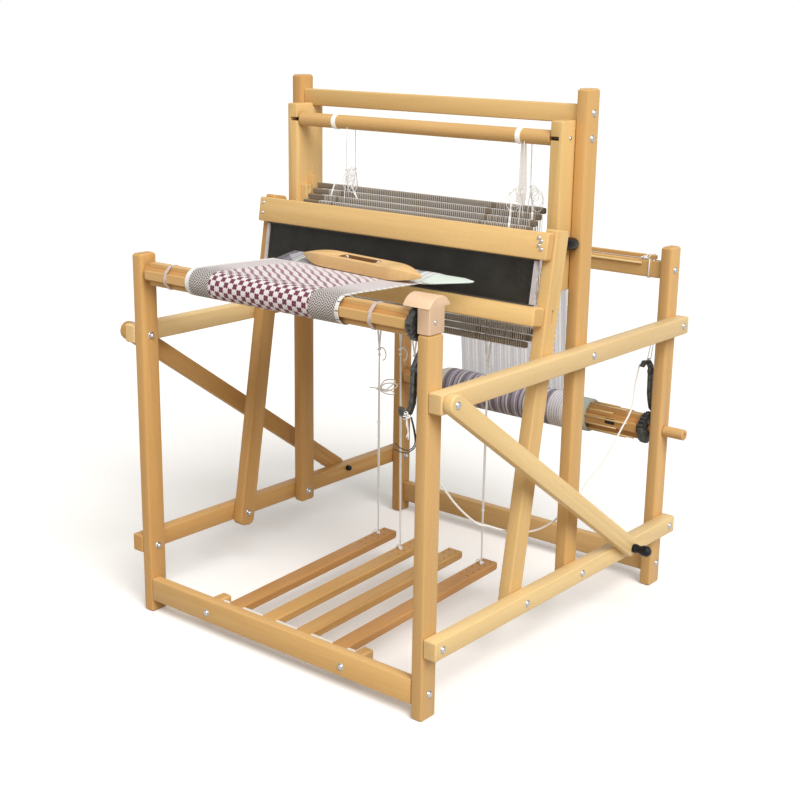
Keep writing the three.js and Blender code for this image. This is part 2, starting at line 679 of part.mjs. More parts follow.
place('warp_pawl', pawl([
  noseRest(warpTeeth, warpRatchet, 1, 4, [warpBeamY, warpBeamZ], warpPawlPivot),
  [warpBeamY + 17, tipZ + 3], [warpBeamY + 13, tipZ + 22], [warpBeamY + 9, tipZ + 44], [warpBeamY + 8, tipZ + 80],
  [warpBeamY + 4, tipZ + 106], [warpBeamY - 10, tipZ + 120], [warpBeamY - 34, tipZ + 122],
  [warpBeamY - 44, tipZ + 112], [warpBeamY - 38, tipZ + 108], [warpBeamY - 30, tipZ + 113],
  [warpBeamY - 14, tipZ + 110], [warpBeamY - 6, tipZ + 100], [warpBeamY - 5, tipZ + 78],
  [warpBeamY - 4, tipZ + 44], [warpBeamY + 1, tipZ + 24], [warpBeamY + 8, tipZ + 6],
], ...warpPawlX, warpPawlPivot, bearingX + gap), castIron);

// Back beam with the thin stick tied over it; the warp runs between the two
const backY = [warpBeamY - backBeamDeep / 2, warpBeamY + backBeamDeep / 2];
const tiedStick = bar('x', [-bearingX + 22, bearingX - 20], [warpBeamY - 5, warpBeamY + 5],
  [backBeamTopZ + 2.2, backBeamTopZ + 11], 1.5);
const backBandX = [-bearingX + bandInset, bearingX - bandInset - 8, bearingX - bandInset + 6];
const backBands = backBandX.map((x) => box([x - 2.5, x + 2.5], [backY[0] - 1.2, backY[1] + 1.2],
  [backBeamTopZ - backBeamHigh - 1.2, backBeamTopZ + 12.2]));
place('back_beam', join(bar('x', crossX, backY, [backBeamTopZ - backBeamHigh, backBeamTopZ], 3),
  tiedStick, ...backBands), beech);

// Warp: a sheet behind the shafts that runs on as strips between heddles and dents to the fell
const sheetStart = shaftY[3] + 40;
const stripX = (k) => (k + 0.5) * dentPitch;
const sheetLeft = stripX(warpLeft) - warpWide / 2;
const sheetRight = stripX(warpRight) + warpWide / 2;
const wrapR = 3 + gap + warpThick / 2;
function ribbon(points, x0, x1, thick) {
  const top = [];
  const under = [];
  points.forEach(([y, z], i) => {
    const a = points[Math.max(0, i - 1)];
    const b = points[Math.min(points.length - 1, i + 1)];
    const length = Math.hypot(b[0] - a[0], b[1] - a[1]);
    const n = [-(b[1] - a[1]) / length, (b[0] - a[0]) / length];
    top.push([y + (n[0] * thick) / 2, z + (n[1] * thick) / 2]);
    under.push([y - (n[0] * thick) / 2, z - (n[1] * thick) / 2]);
  });
  const outline = new THREE.Shape();
  [...under, ...top.reverse()].forEach(([y, z], i) => {
    if (i === 0) {
      outline.moveTo(y, z);
    } else {
      outline.lineTo(y, z);
    }
  });
  outline.closePath();
  const sheet = push(outline, 'x', x1 - x0);
  return sheet.translate((x0 + x1) / 2, 0, 0);
}
const backTurn = [];
for (let i = 0; i <= 4; i += 1) {
  const a = Math.PI / 2 - (i / 4) * (Math.PI / 2 + 0.1);
  backTurn.push([backY[1] - 3 + Math.cos(a) * wrapR, backBeamTopZ - 3 + Math.sin(a) * wrapR]);
}
const rollTouch = [warpBeamY + warpRollRadius + gap + warpThick / 2, warpBeamZ];
const sheetPath = [[sheetStart, warpZ(sheetStart)], [backY[0] + 4, backBeamTopZ + gap + warpThick / 2],
  ...backTurn, [backY[1] + gap + warpThick / 2, backBeamTopZ - backBeamHigh + 2], rollTouch];
const sheet = ribbon(sheetPath, sheetLeft, sheetRight, warpThick);
const sheetAttr = sheet.attributes.position;
for (let i = 0; i < sheetAttr.count; i += 1) {
  const t = THREE.MathUtils.clamp((sheetAttr.getY(i) - sheetStart) / (backY[0] - sheetStart), 0, 1);
  const x = sheetAttr.getX(i);
  const end = x > 0 ? stripesEnd : sheetLeft;
  sheetAttr.setX(i, x + (end - x) * t);
}
const swordY = [fellY + 5, fellY + 5 + swordWide];
const swordTilt = Math.asin(swordRise / swordWide);
const swordMid = [(swordY[0] + swordY[1]) / 2, warpZ(fellY) + swordRise / 2 - 1.5];
const swordClear = (swordThick / 2 + gap + warpThick / 2) * 1.02;
const swordLineZ = (y) => swordMid[1] + (y - swordMid[0]) * Math.tan(swordTilt);
const overZ = (y) => swordLineZ(y) + swordClear;
const underZ = (y) => swordLineZ(y) - swordClear;
const strips = [sheet];
for (let k = warpLeft; k <= warpRight; k += 1) {
  const over = [[fellY + gap, warpZ(fellY)], [swordY[0] - 1, overZ(swordY[0])], [swordY[1] + 1, overZ(swordY[1])],
    [rollerY - 2 * shaftPitch - 8, warpZ(rollerY - 2 * shaftPitch)], [sheetStart + 0.5, warpZ(sheetStart + 0.5)]];
  const below = [[fellY + gap, warpZ(fellY)], [swordY[0] - 1, underZ(swordY[0])],
    [swordY[0] + 10, underZ(swordY[0]) - 0.5], [rollerY - 2 * shaftPitch - 8, warpZ(rollerY - 2 * shaftPitch)],
    [sheetStart + 0.5, warpZ(sheetStart + 0.5)]];
  const x = stripX(k);
  strips.push(ribbon(k % 2 === 0 ? over : below, x - warpWide / 2, x + warpWide / 2, warpThick));
}
place('warp', join(...strips), warpYarn);

// Woven cloth from the fell to the top of the beam
const clothMid = clothTopZ + clothThick / 2;
place('cloth', ribbon([[beamY, clothMid], [fellY - gap, warpZ(fellY)]], clothLeftX, clothRightX, clothThick), cloth);

// Flat sword that holds the shed open, with tapered ends
const swordPlan = new THREE.Shape();
swordPlan.moveTo(swordLeftX, 6);
swordPlan.lineTo(swordLeftX + 40, -swordWide / 2);
swordPlan.lineTo(swordRightX - 72, -swordWide / 2);
swordPlan.lineTo(swordRightX - 6, swordWide / 2 - 16);
swordPlan.lineTo(swordRightX, swordWide / 2 - 8);
swordPlan.lineTo(swordRightX - 26, swordWide / 2);
swordPlan.lineTo(swordLeftX + 12, swordWide / 2);
swordPlan.closePath();
const sword = new THREE.ExtrudeGeometry(swordPlan, { depth: swordThick - 2, bevelThickness: 1, bevelSize: 2,
  bevelOffset: -2, bevelSegments: 1, curveSegments: 2 });
sword.translate(0, 0, 1 - swordThick / 2);
sword.rotateX(swordTilt);
sword.translate(0, swordMid[0], swordMid[1]);
place('shed_sword', sword, swordPaint);

// Boat shuttle: plan and side outlines meet, then the well is cut
const L = shuttleLong / 2;
const plan = new THREE.Shape();
plan.moveTo(-L, 0);
plan.bezierCurveTo(-L + 25, -shuttleWide * 0.26, -L + 50, -shuttleWide / 2, -shuttleStraight, -shuttleWide / 2);
plan.lineTo(shuttleStraight, -shuttleWide / 2);
plan.bezierCurveTo(L - 50, -shuttleWide / 2, L - 25, -shuttleWide * 0.26, L, 0);
plan.bezierCurveTo(L - 25, shuttleWide * 0.26, L - 50, shuttleWide / 2, shuttleStraight, shuttleWide / 2);
plan.lineTo(-shuttleStraight, shuttleWide / 2);
plan.bezierCurveTo(-L + 50, shuttleWide / 2, -L + 25, shuttleWide * 0.26, -L, 0);
const side = new THREE.Shape();
side.moveTo(-L - 1, shuttleTip - 2);
side.bezierCurveTo(-L + 20, shuttleTip - 7, -L + 50, 0, -shuttleStraight, 0);
side.lineTo(shuttleStraight, 0);
side.bezierCurveTo(L - 50, 0, L - 20, shuttleTip - 7, L + 1, shuttleTip - 2);
side.lineTo(L + 1, shuttleTip + 2);
side.bezierCurveTo(L - 20, shuttleTip + 8, L - 50, shuttleHigh, shuttleStraight, shuttleHigh);
side.lineTo(-shuttleStraight, shuttleHigh);
side.bezierCurveTo(-L + 50, shuttleHigh, -L + 20, shuttleTip + 8, -L - 1, shuttleTip + 2);
const planSolid = new THREE.ExtrudeGeometry(plan, { depth: shuttleHigh + 2, bevelEnabled: false, curveSegments: 7 });
planSolid.translate(0, 0, -1);
const sideSolid = new THREE.ExtrudeGeometry(side, { depth: shuttleWide + 2, bevelEnabled: false, curveSegments: 7 });
sideSolid.rotateX(Math.PI / 2);
sideSolid.translate(0, shuttleWide / 2 + 1, 0);
const wellHalf = [54, 11.5];
const well = push(roundedRect(2 * wellHalf[0], 2 * wellHalf[1], 7), 'z', shuttleHigh, 0, 4);
well.translate(0, 0, 4 + shuttleHigh / 2);
const toWeb = (geometry) => {
  geometry.rotateX(shuttleRoll);
  geometry.rotateZ(shuttleTurn);
  return geometry.translate(shuttleX, shuttleY, shuttleZ);
};
place('shuttle', toWeb(cut(meet(planSolid, sideSolid), well)), beech);
const quillHalf = wellHalf[0] - gap;
place('quill', toWeb(turned([
  [-quillHalf, 0], [-quillHalf, 2.5], [-quillHalf + 3, 2.5], [-quillHalf + 3, 5], [-quillHalf + 9, 5],
  [-quillHalf + 10, quillRadius - 1.5], [-quillHalf + 16, quillRadius], [quillHalf - 16, quillRadius],
  [quillHalf - 10, quillRadius - 1.5], [quillHalf - 9, 5], [quillHalf - 3, 5], [quillHalf - 3, 2.5],
  [quillHalf, 2.5], [quillHalf, 0],
], 0, 12, 12)), quillYarn);

// Treadle brackets behind the front cross rail, and the rod with its spacers
const treadleX = [0, 1, 2, 3].map((i) => treadleMidX + (i - 1.5) * treadlePitch);
const bracketX = [treadleX[0] - treadleWide / 2 - 17 - bracketThick, treadleX[3] + treadleWide / 2 + 24];
for (const [i, [sideName]] of sides.entries()) {
  const x0 = bracketX[i];
  const plate = bar('z', [x0, x0 + bracketThick], [crossThick + gap, crossThick + bracketDeep],
    [bracketFootZ, bracketTopZ], 3);
  const bore = pin(x0 - 1, x0 + bracketThick + 1, rodRadius + gap, treadleY, treadleZ);
  place(`treadle_bracket_${sideName}`, cut(plate, bore), beech);
}
const rodProfile = [[bracketX[0] - 3, 0], [bracketX[0] - 3, rodRadius]];
const spacerEnds = [
  [bracketX[0] + bracketThick + gap, treadleX[0] - treadleWide / 2 - gap],
  ...[0, 1, 2].map((i) => [treadleX[i] + treadleWide / 2 + gap, treadleX[i + 1] - treadleWide / 2 - gap]),
  [treadleX[3] + treadleWide / 2 + gap, bracketX[1] - gap],
];
for (const [a, b] of spacerEnds) {
  rodProfile.push([a, rodRadius], [a, spacerRadius], [b, spacerRadius], [b, rodRadius]);
}
rodProfile.push([bracketX[1] + bracketThick + 3, rodRadius], [bracketX[1] + bracketThick + 3, 0]);
place('treadle_rod', turned(rodProfile, treadleY, treadleZ, 12), steel);

// Treadles: boards with a rounded nose on the rod and two rows of tie holes at the back
const tieTop = [];
treadleX.forEach((x, i) => {
  const outline = new THREE.Shape();
  const t = treadleThick / 2;
  outline.absarc(0, 0, t, Math.PI / 2, Math.PI * 1.5);
  outline.lineTo(treadleLong - 7, -t);
  outline.absarc(treadleLong - 7, -t + 7, 7, -Math.PI / 2, 0);
  outline.lineTo(treadleLong, t - 4);
  outline.absarc(treadleLong - 4, t - 4, 4, 0, Math.PI / 2);
  outline.closePath();
  const board = push(outline, 'x', treadleWide, edgeEase, 4);
  const bore = pin(-treadleWide, treadleWide, rodRadius + gap, 0, 0);
  const holes = [];
  for (const dx of [-9, 9]) {
    for (const k of [0, 1, 2, 3, 4]) {
      const hole = new THREE.CylinderGeometry(2.4, 2.4, treadleThick * 2, 6);
      hole.rotateX(Math.PI / 2);
      holes.push(hole.translate(dx, treadleLong - 14 - k * 21, 0));
    }
  }
  const treadle = cut(board, bore, ...holes);
  treadle.rotateX(treadleSlope);
  treadle.translate(x, treadleY, treadleZ);
  place(`treadle_${i + 1}`, treadle, beech);
  tieTop.push(v3(x, treadleY + tieAlong[i] * Math.cos(treadleSlope) - t * Math.sin(treadleSlope),
    treadleZ + tieAlong[i] * Math.sin(treadleSlope) + t * Math.cos(treadleSlope)));
});

// Tie cords: from a knot on the treadle up to a knot that forks to its two shafts
const tiePairs = [[0, 1], [2, 3], [0, 2], [1, 3]];
tiePairs.forEach(([a, b], i) => {
  const foot = tieTop[i].clone().add(v3(0, 0, 5 + gap));
  const fork = v3(tieHeadX[i], (shaftY[a] + shaftY[b]) / 2, tieForkZ);
  const parts = [strand(foot, fork, cordRadius), knot(foot, 4.8), knot(fork, 4.8)];
  for (const k of [a, b]) {
    parts.push(strand(fork, v3(tieHeadX[i], shaftY[k], shaftFoot[k] - shaftBarHigh / 2 - gap), cordRadius));
  }
  place(`tie_cord_${i + 1}`, join(...parts), cotton);
});

// Release cord: from beside the rear pawl's hook it hangs along the right side to the front post.
// Each place is a share of the way from the hook to the post, with its height.
const releaseRadius = 2;
const cordX = bearingX - 12;
const hookX = warpPawlX[0] - gap - releaseRadius;
const hookY = warpBeamY - 38;
const cordEndY = 34;
const cordY = (share) => hookY + (cordEndY - hookY) * share;
const cordHang = [
  [0.054, 426], [0.112, 383], [0.185, 333], [0.27, 300], [0.311, 279], [0.409, 251], [0.488, 245], [0.568, 254],
  [0.659, 278], [0.734, 304], [0.78, 320], [0.857, 369], [0.924, 426],
];
const cordRoute = [
  v3(hookX, hookY, tipZ + 114), v3(hookX, cordY(0.01), tipZ + 92), v3(hookX + 2, cordY(0.024), 469),
  ...cordHang.map(([share, z]) => v3(cordX, cordY(share), z)),
  v3(cordX + 5, cordY(0.973), 472), v3(bearingX - releaseRadius, cordEndY, 500),
];
place('release_cord', cord(cordRoute, releaseRadius, true), cotton);

// The origin is on the floor under the middle of the whole loom
const frontMost = beamY - 47;
const backMost = warpBeamY + warpRollRadius + gap + warpThick;
const middleY = (frontMost + backMost) / 2;
for (const mesh of loom.children) {
  mesh.geometry.translate(0, -middleY, 0);
}

export default loom;
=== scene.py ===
import random
from math import atan2, cos, hypot, pi, radians, sin, tan

import bmesh
import bpy
from mathutils import Matrix, Vector


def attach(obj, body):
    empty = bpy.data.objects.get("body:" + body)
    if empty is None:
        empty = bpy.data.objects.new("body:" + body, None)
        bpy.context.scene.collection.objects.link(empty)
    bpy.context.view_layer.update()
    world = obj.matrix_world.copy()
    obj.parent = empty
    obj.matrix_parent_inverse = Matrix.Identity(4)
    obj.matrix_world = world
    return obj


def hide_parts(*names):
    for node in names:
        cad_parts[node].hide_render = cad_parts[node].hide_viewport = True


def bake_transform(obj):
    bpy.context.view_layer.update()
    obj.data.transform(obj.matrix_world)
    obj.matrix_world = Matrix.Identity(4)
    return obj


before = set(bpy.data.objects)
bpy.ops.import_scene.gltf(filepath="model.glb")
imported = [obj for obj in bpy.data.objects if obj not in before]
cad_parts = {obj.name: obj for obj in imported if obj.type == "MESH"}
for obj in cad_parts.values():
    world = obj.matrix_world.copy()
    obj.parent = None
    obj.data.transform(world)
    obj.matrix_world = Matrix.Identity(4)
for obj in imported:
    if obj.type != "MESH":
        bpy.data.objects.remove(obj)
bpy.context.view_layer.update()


def feed(node, **inputs):
    """Set a node's sockets, or link them, by name (i0, i1 ... by place)."""
    for key, value in inputs.items():
        socket = node.inputs[int(key[1:]) if key[1:].isdigit() else key.replace("_", " ")]
        if isinstance(value, bpy.types.NodeSocket):
            node.id_data.links.new(value, socket)
        else:
            socket.default_value = value
    return node


def add(tree, kind, settings=None, **inputs):
    """One node of a pattern, with its settings and sockets."""
    node = tree.nodes.new(kind)
    for key, value in (settings or {}).items():
        setattr(node, key, value)
    return feed(node, **inputs)


def calc(tree, operation, a, b=0.0, c=0.0):
    """One sum of a pattern."""
    return add(tree, "ShaderNodeMath", {"operation": operation}, i0=a, i1=b, i2=c).outputs[0]


def mix(tree, factor, low, high, blend="MIX"):
    """A colour between two, each of them plain or a pattern."""
    low, high = [c if isinstance(c, bpy.types.NodeSocket) else (*c, 1) for c in (low, high)]
    return add(tree, "ShaderNodeMix", {"data_type": "RGBA", "blend_type": blend}, i0=factor, i6=low,
               i7=high).outputs[2]


def blank(name, roughness=0.5, metallic=0.0, colour=(0.8, 0.8, 0.8), **more):
    """A material with its plain values on the shader's own sockets."""
    material = bpy.data.materials.new(name)
    material.use_nodes = True
    shader = material.node_tree.nodes["Principled BSDF"]
    feed(shader, Roughness=roughness, Metallic=metallic, Base_Color=(*colour, 1), **more)
    return material, material.node_tree, shader


def placed(name, data):
    """A new object in the scene."""
    thing = bpy.data.objects.new(name, data)
    bpy.context.scene.collection.objects.link(thing)
    return thing


camera = placed("camera", bpy.data.cameras.new("camera"))
yaw, pitch, roll = 0.682961, 0.270882, 0.0154796
look = Vector((-sin(yaw) * cos(pitch), cos(yaw) * cos(pitch), -sin(pitch)))
right = Vector((cos(yaw), sin(yaw), 0))
above = right.cross(look)
across = right * cos(roll) + above * sin(roll)
upward = above * cos(roll) - right * sin(roll)
camera.matrix_world = Matrix.Translation((1.74983, -2.19196, 1.22746)) @ Matrix(
    (across, upward, -look)).transposed().to_4x4()
sensor, focal_pixels, picture_pixels = 36, 1365.665, 800
camera.data.sensor_width = sensor
camera.data.lens = sensor * focal_pixels / picture_pixels
camera.data.clip_end = 60
bpy.context.scene.camera = camera
bpy.context.scene.view_settings.view_transform = "Standard"

floor_mesh = bpy.data.meshes.new("studio_floor")
floor_mesh.from_pydata([(-20, -20, 0), (20, -20, 0), (20, 20, 0), (-20, 20, 0)], [], [(0, 1, 2, 3)])
studio_floor = placed("studio_floor", floor_mesh)
floor_paint, tree, shader = blank("studio floor", 0.95, Specular_IOR_Level=0, Emission_Strength=0.14)
seen = add(tree, "ShaderNodeLightPath").outputs
facing = calc(tree, "MAXIMUM", seen["Is Camera Ray"], seen["Is Glossy Ray"])
feed(shader, Base_Color=mix(tree, facing, (0.5, 0.46, 0.40), (1, 1, 1)),
     Emission_Color=mix(tree, facing, (0, 0, 0), (1, 1, 1)))
floor_mesh.materials.append(floor_paint)

world = bpy.data.worlds.new("studio")
bpy.context.scene.world = world
world.use_nodes = True
tree = world.node_tree
tree.nodes.clear()
seen = add(tree, "ShaderNodeLightPath").outputs
shown = calc(tree, "MAXIMUM", calc(tree, "MAXIMUM", seen["Is Camera Ray"], seen["Is Glossy Ray"]),
             seen["Is Transmission Ray"])
soft = add(tree, "ShaderNodeBackground", Color=(1, 0.955, 0.89, 1), Strength=0.37)
white = add(tree, "ShaderNodeBackground", Color=(1, 1, 1, 1), Strength=1.0)
both = add(tree, "ShaderNodeMixShader", i0=shown, i1=soft.outputs[0], i2=white.outputs[0])
add(tree, "ShaderNodeOutputWorld", Surface=both.outputs[0])

sun = placed("window", bpy.data.lights.new("window", "SUN"))
sun.data.energy, sun.data.angle, sun.data.color = 2.7, radians(35), (1.0, 0.985, 0.955)
sun.rotation_euler = Vector((0.66, -0.32, 0.70)).to_track_quat("Z", "Y").to_euler()
lamp = placed("lamp over the castle", bpy.data.lights.new("lamp over the castle", "AREA"))
lamp.data.energy, lamp.data.size, lamp.data.color = 12, 1.2, (1.0, 0.97, 0.90)
lamp.location = (0.55, -1.75, 2.05)
lamp.rotation_euler = (lamp.location - Vector((0, 0, 0.85))).to_track_quat("Z", "Y").to_euler()


# Release cord
# A limp white cotton cord of about four millimetres. It is tied to the rear pawl's hook, hangs
# in a bow along the inside of the right frame and is tied at the right front post.
half_depth = 433.05


def at(x, y, z):
    """A place on the loom, in millimetres from the front posts, as metres in the shared frame."""
    return Vector((x / 1000, (y - half_depth) / 1000, z / 1000))


def smooth(points, steps=8):
    """A rounded line through the points of a cord."""
    ends = [points[0] * 2 - points[1], *points, points[-1] * 2 - points[-2]]
    line = []
    for a, b, c, d in zip(ends, ends[1:], ends[2:], ends[3:]):
        for k in range(steps):
            t = k / steps
            line.append(0.5 * (2 * b + (c - a) * t + (2 * a - 5 * b + 4 * c - d) * t * t
                               + (3 * b - a - 3 * c + d) * t ** 3))
    line.append(points[-1])
    return line


def length_of(line):
    """The run of a line in metres."""
    return sum((b - a).length for a, b in zip(line, line[1:]))


def noise(tree, scale, detail=2.0, place=None):
    """Cloudy noise over the piece."""
    if place is None:
        place = add(tree, "ShaderNodeTexCoord").outputs["Object"]
    return add(tree, "ShaderNodeTexNoise", Vector=place, Scale=scale, Detail=detail).outputs[0]


def relief(shader, strength, distance, height):
    """Fine relief over a surface."""
    bump = add(shader.id_data, "ShaderNodeBump", Strength=strength, Distance=distance, Height=height)
    feed(shader, Normal=bump.outputs[0])


def cotton(name, colour, plies=4.0, pitch=0.006):
    """Twisted yarn: slanting plies from the tube's own map, with painted shade in the grooves between them, a
    soft fuzz and a faint painted glow in its own colour.
    """
    # The glow in the yarn's own colour is painted light.
    material, tree, shader = blank(name, 0.85, Emission_Strength=0.16, Sheen_Weight=0.25)
    mapped = add(tree, "ShaderNodeUVMap").outputs[0]
    along, around, _ = add(tree, "ShaderNodeSeparateXYZ", Vector=mapped).outputs
    turn = calc(tree, "MULTIPLY", calc(tree, "ADD", calc(tree, "DIVIDE", along, pitch), around), plies * pi)
    ply = calc(tree, "ABSOLUTE", calc(tree, "SINE", turn))
    # The grooves between the plies are painted darker: painted shade.
    lit = calc(tree, "MULTIPLY_ADD", ply, 0.7, calc(tree, "MULTIPLY", noise(tree, 900, 3), 0.3))
    shade = mix(tree, lit, [c * 0.8 for c in colour], colour)
    feed(shader, Base_Color=shade, Emission_Color=shade)
    relief(shader, 0.6, 0.0006, ply)
    return material


def made(name, mesh, material, sharp=None, rounded=True):
    """A piece of one finish from the faces drawn in mesh."""
    data = bpy.data.meshes.new(name)
    mesh.to_mesh(data)
    mesh.free()
    data.materials.append(material)
    if rounded:
        data.shade_smooth()
    if sharp:
        data.set_sharp_from_angle(angle=radians(sharp))
    return placed(name, data)


def tube(name, lines, radius, material, sides=8):
    """Round tubes along lines of points, with a map of length and turn."""
    mesh = bmesh.new()
    uv = mesh.loops.layers.uv.new("UVMap")
    for line in lines:
        rings, run, side = [], [0.0], None
        for i, p in enumerate(line):
            d = (line[min(i + 1, len(line) - 1)] - line[max(i - 1, 0)]).normalized()
            if side is None:
                side = d.orthogonal().normalized()
            side = (side - d * side.dot(d)).normalized()
            lift = d.cross(side)
            rings.append([mesh.verts.new(p + (side * cos(a) + lift * sin(a)) * radius)
                          for a in (2 * pi * k / sides for k in range(sides))])
            if i:
                run.append(run[-1] + (p - line[i - 1]).length)
        for i in range(len(rings) - 1):
            for k in range(sides):
                n = (k + 1) % sides
                face = mesh.faces.new((rings[i][k], rings[i][n], rings[i + 1][n], rings[i + 1][k]))
                for loop, (j, v) in zip(face.loops, ((i, k), (i, k + 1), (i + 1, k + 1), (i + 1, k))):
                    loop[uv].uv = (run[j], v / sides)
        mesh.faces.new(rings[0][::-1])
        mesh.faces.new(rings[-1])
    return made(name, mesh, material)


def fit(piece, body, slot, *nodes):
    """The piece rides on its body and stands for the CAD nodes, which it hides; the slot is not used."""
    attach(piece, body)
    if nodes:
        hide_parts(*nodes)
    return piece


white_cotton = cotton("white cotton cord", (0.93, 0.92, 0.90))
cord_x, hook_x, hook_y, cord_end_y = 340.7, 330.4, 812, 34
cord_y = lambda share: hook_y + (cord_end_y - hook_y) * share
cord_hang = ((0.054, 426), (0.112, 383), (0.185, 333), (0.27, 300), (0.311, 279), (0.409, 251), (0.488, 245),
             (0.568, 254), (0.659, 278), (0.734, 304), (0.78, 320), (0.857, 369), (0.924, 426))
release_points = [at(hook_x, hook_y, 514.3), at(hook_x, cord_y(0.01), 492.3),
                  at(hook_x + 2, cord_y(0.024), 469)]
release_points += [at(cord_x, cord_y(share), z) for share, z in cord_hang]
release_points += [at(cord_x + 5, cord_y(0.973), 472), at(350.7, cord_end_y, 500)]
release_line = smooth(release_points, 6)
release_cord = tube("release_cord_cotton", [release_line], 0.002, white_cotton)
fit(release_cord, "frame", "cotton", "release_cord")
length_of(release_line)


# Frame, castle and beater woodwork
# Planed and oiled beech: corner posts, side rails outside them, cross rails near the floor,
# castle posts with their top rail and cheeks, the beater and the treadles. Edges are eased.
def group_sockets(group, inputs, outputs):
    """Give a group its named inputs, with their values, and its outputs."""
    for way, rows in (("INPUT", inputs), ("OUTPUT", outputs)):
        for name, kind, *values in rows:
            socket = group.interface.new_socket(name, in_out=way, socket_type=f"NodeSocket{kind}")
            for value in values:
                socket.default_value = value
    return add(group, "NodeGroupInput").outputs


def span(tree, value, low, high):
    """How far a value lies between two limits, from 0 to 1."""
    return add(tree, "ShaderNodeMapRange", Value=value, From_Min=low, From_Max=high).outputs[0]


def grain_group():
    """Beech along local X: long soft streaks, short flecks, and darker end grain with rings."""
    group = bpy.data.node_groups.new("Beech grain", "ShaderNodeTree")
    inputs = (("Place", "Vector"), ("Facing", "Vector"), ("Light", "Color"), ("Dark", "Color"),
              ("Flecks", "Float"))
    given = group_sockets(group, inputs, (("Color", "Color"), ("Roughness", "Float"), ("Height", "Float")))

    def streaks(scale, **more):
        drawn = add(group, "ShaderNodeMapping", Vector=given["Place"], Scale=scale)
        return add(group, "ShaderNodeTexNoise", Vector=drawn.outputs[0], Scale=1.0, **more).outputs[0]

    streak = streaks((1.6, 26.0, 26.0), Detail=5.0, Roughness=0.6, Distortion=0.7)
    line = streaks((14.0, 420.0, 420.0), Detail=3.0)
    rays = span(group, streaks((260.0, 1500.0, 1500.0), Detail=1.0), 0.60, 0.72)
    facing = add(group, "ShaderNodeSeparateXYZ", Vector=given["Facing"]).outputs[0]
    end_face = span(group, calc(group, "ABSOLUTE", facing), 0.75, 0.95)
    rings = add(group, "ShaderNodeTexWave", {"wave_type": "RINGS", "rings_direction": "X"},
                Vector=given["Place"],
                Scale=38.0, Distortion=2.0, Detail=2.0, Detail_Scale=4.0).outputs["Fac"]
    body = calc(group, "MULTIPLY_ADD", streak, 1.25, calc(group, "MULTIPLY_ADD", line, 0.45, -0.40))
    ends = calc(group, "MULTIPLY", end_face, calc(group, "MULTIPLY_ADD", rings, 0.25, 0.35))
    tone = mix(group, calc(group, "ADD", body, ends), given["Light"], given["Dark"])
    marks = mix(group, calc(group, "MULTIPLY", rays, given["Flecks"]), tone, (0.72, 0.58, 0.46), "MULTIPLY")
    add(group, "NodeGroupOutput", Color=marks, Roughness=calc(group, "MULTIPLY_ADD", line, 0.16, 0.36),
        Height=calc(group, "SUBTRACT", calc(group, "MULTIPLY", line, 0.6), rays))
    return group


beech_grain = grain_group()
grain_turn = {"X": (0, 0, 0), "Y": (0, 0, -pi / 2), "Z": (0, pi / 2, 0)}
# Board tones: the beech's own colour differs a little from board to board, and the tones also paint light and
# shade. The lighter straw and cream go where light falls, on the castle, the beater and the upper and
# right-hand rails; the darker amber and russet stand for shade on the left-hand frame pieces, the left beater
# arm and the treadles.
honey = ((0.745, 0.49, 0.215), (0.585, 0.335, 0.118))
straw = ((0.80, 0.565, 0.26), (0.65, 0.41, 0.16))
cream = ((0.83, 0.64, 0.34), (0.72, 0.50, 0.23))
amber = ((0.69, 0.42, 0.165), (0.52, 0.28, 0.09))
russet = ((0.60, 0.33, 0.125), (0.45, 0.215, 0.07))
pale = ((0.88, 0.665, 0.49), (0.78, 0.53, 0.35))
cuts = random.Random(11)


def beech(name, along, tones=honey, tilt=0.0):
    """A board of its own: grain along one axis, cut from its own place in the plank."""
    material, tree, shader = blank(name, 0.45, Coat_Weight=0.03, Coat_Roughness=0.3, Specular_IOR_Level=0.2)
    turn = (tilt, *grain_turn[along][1:])
    where = add(tree, "ShaderNodeTexCoord").outputs
    board = add(tree, "ShaderNodeMapping", Vector=where["Object"], Rotation=turn,
                Location=[cuts.uniform(-3, 3) for _ in range(3)])
    faces = add(tree, "ShaderNodeMapping", {"vector_type": "NORMAL"}, Vector=where["Normal"], Rotation=turn)
    tone, warm = cuts.uniform(0.95, 1.05), cuts.uniform(0.97, 1.03)
    light, dark = [(*[c * tone * w for c, w in zip(t, (1, 1, warm))], 1) for t in tones]
    grain = add(tree, "ShaderNodeGroup", {"node_tree": beech_grain}, Place=board.outputs[0],
                Facing=faces.outputs[0], Light=light, Dark=dark, Flecks=0.5).outputs
    feed(shader, Base_Color=grain["Color"], Roughness=grain["Roughness"])
    relief(shader, 0.12, 0.0004, grain["Height"])
    return material


def settled(piece):
    """The piece as its modifiers leave it, as a plain mesh."""
    plain = bpy.data.meshes.new_from_object(piece.evaluated_get(bpy.context.evaluated_depsgraph_get()))
    plain.name = piece.name
    piece.modifiers.clear()
    piece.data = plain
    return piece


def rubbed(piece, ease, steps, sharp):
    """Edges rubbed round by hand, with the flat faces kept flat."""
    rub = piece.modifiers.new("rubbed edges", "BEVEL")
    rub.width, rub.segments, rub.angle_limit = ease, steps, radians(sharp)
    rub.limit_method = "ANGLE"
    rub.harden_normals = True
    return settled(piece)


def planed(node, name, material, body, slot="beech", ease=0.0009, sharp=24):
    """The node's own solid with its edges rubbed round by hand."""
    mesh = bmesh.new()
    mesh.from_mesh(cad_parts[node].data)
    bmesh.ops.remove_doubles(mesh, verts=mesh.verts, dist=1e-5)
    bmesh.ops.dissolve_limit(mesh, angle_limit=radians(1.5), verts=mesh.verts, edges=mesh.edges)
    return fit(rubbed(made(name, mesh, material), ease, 2, sharp), body, slot, node)


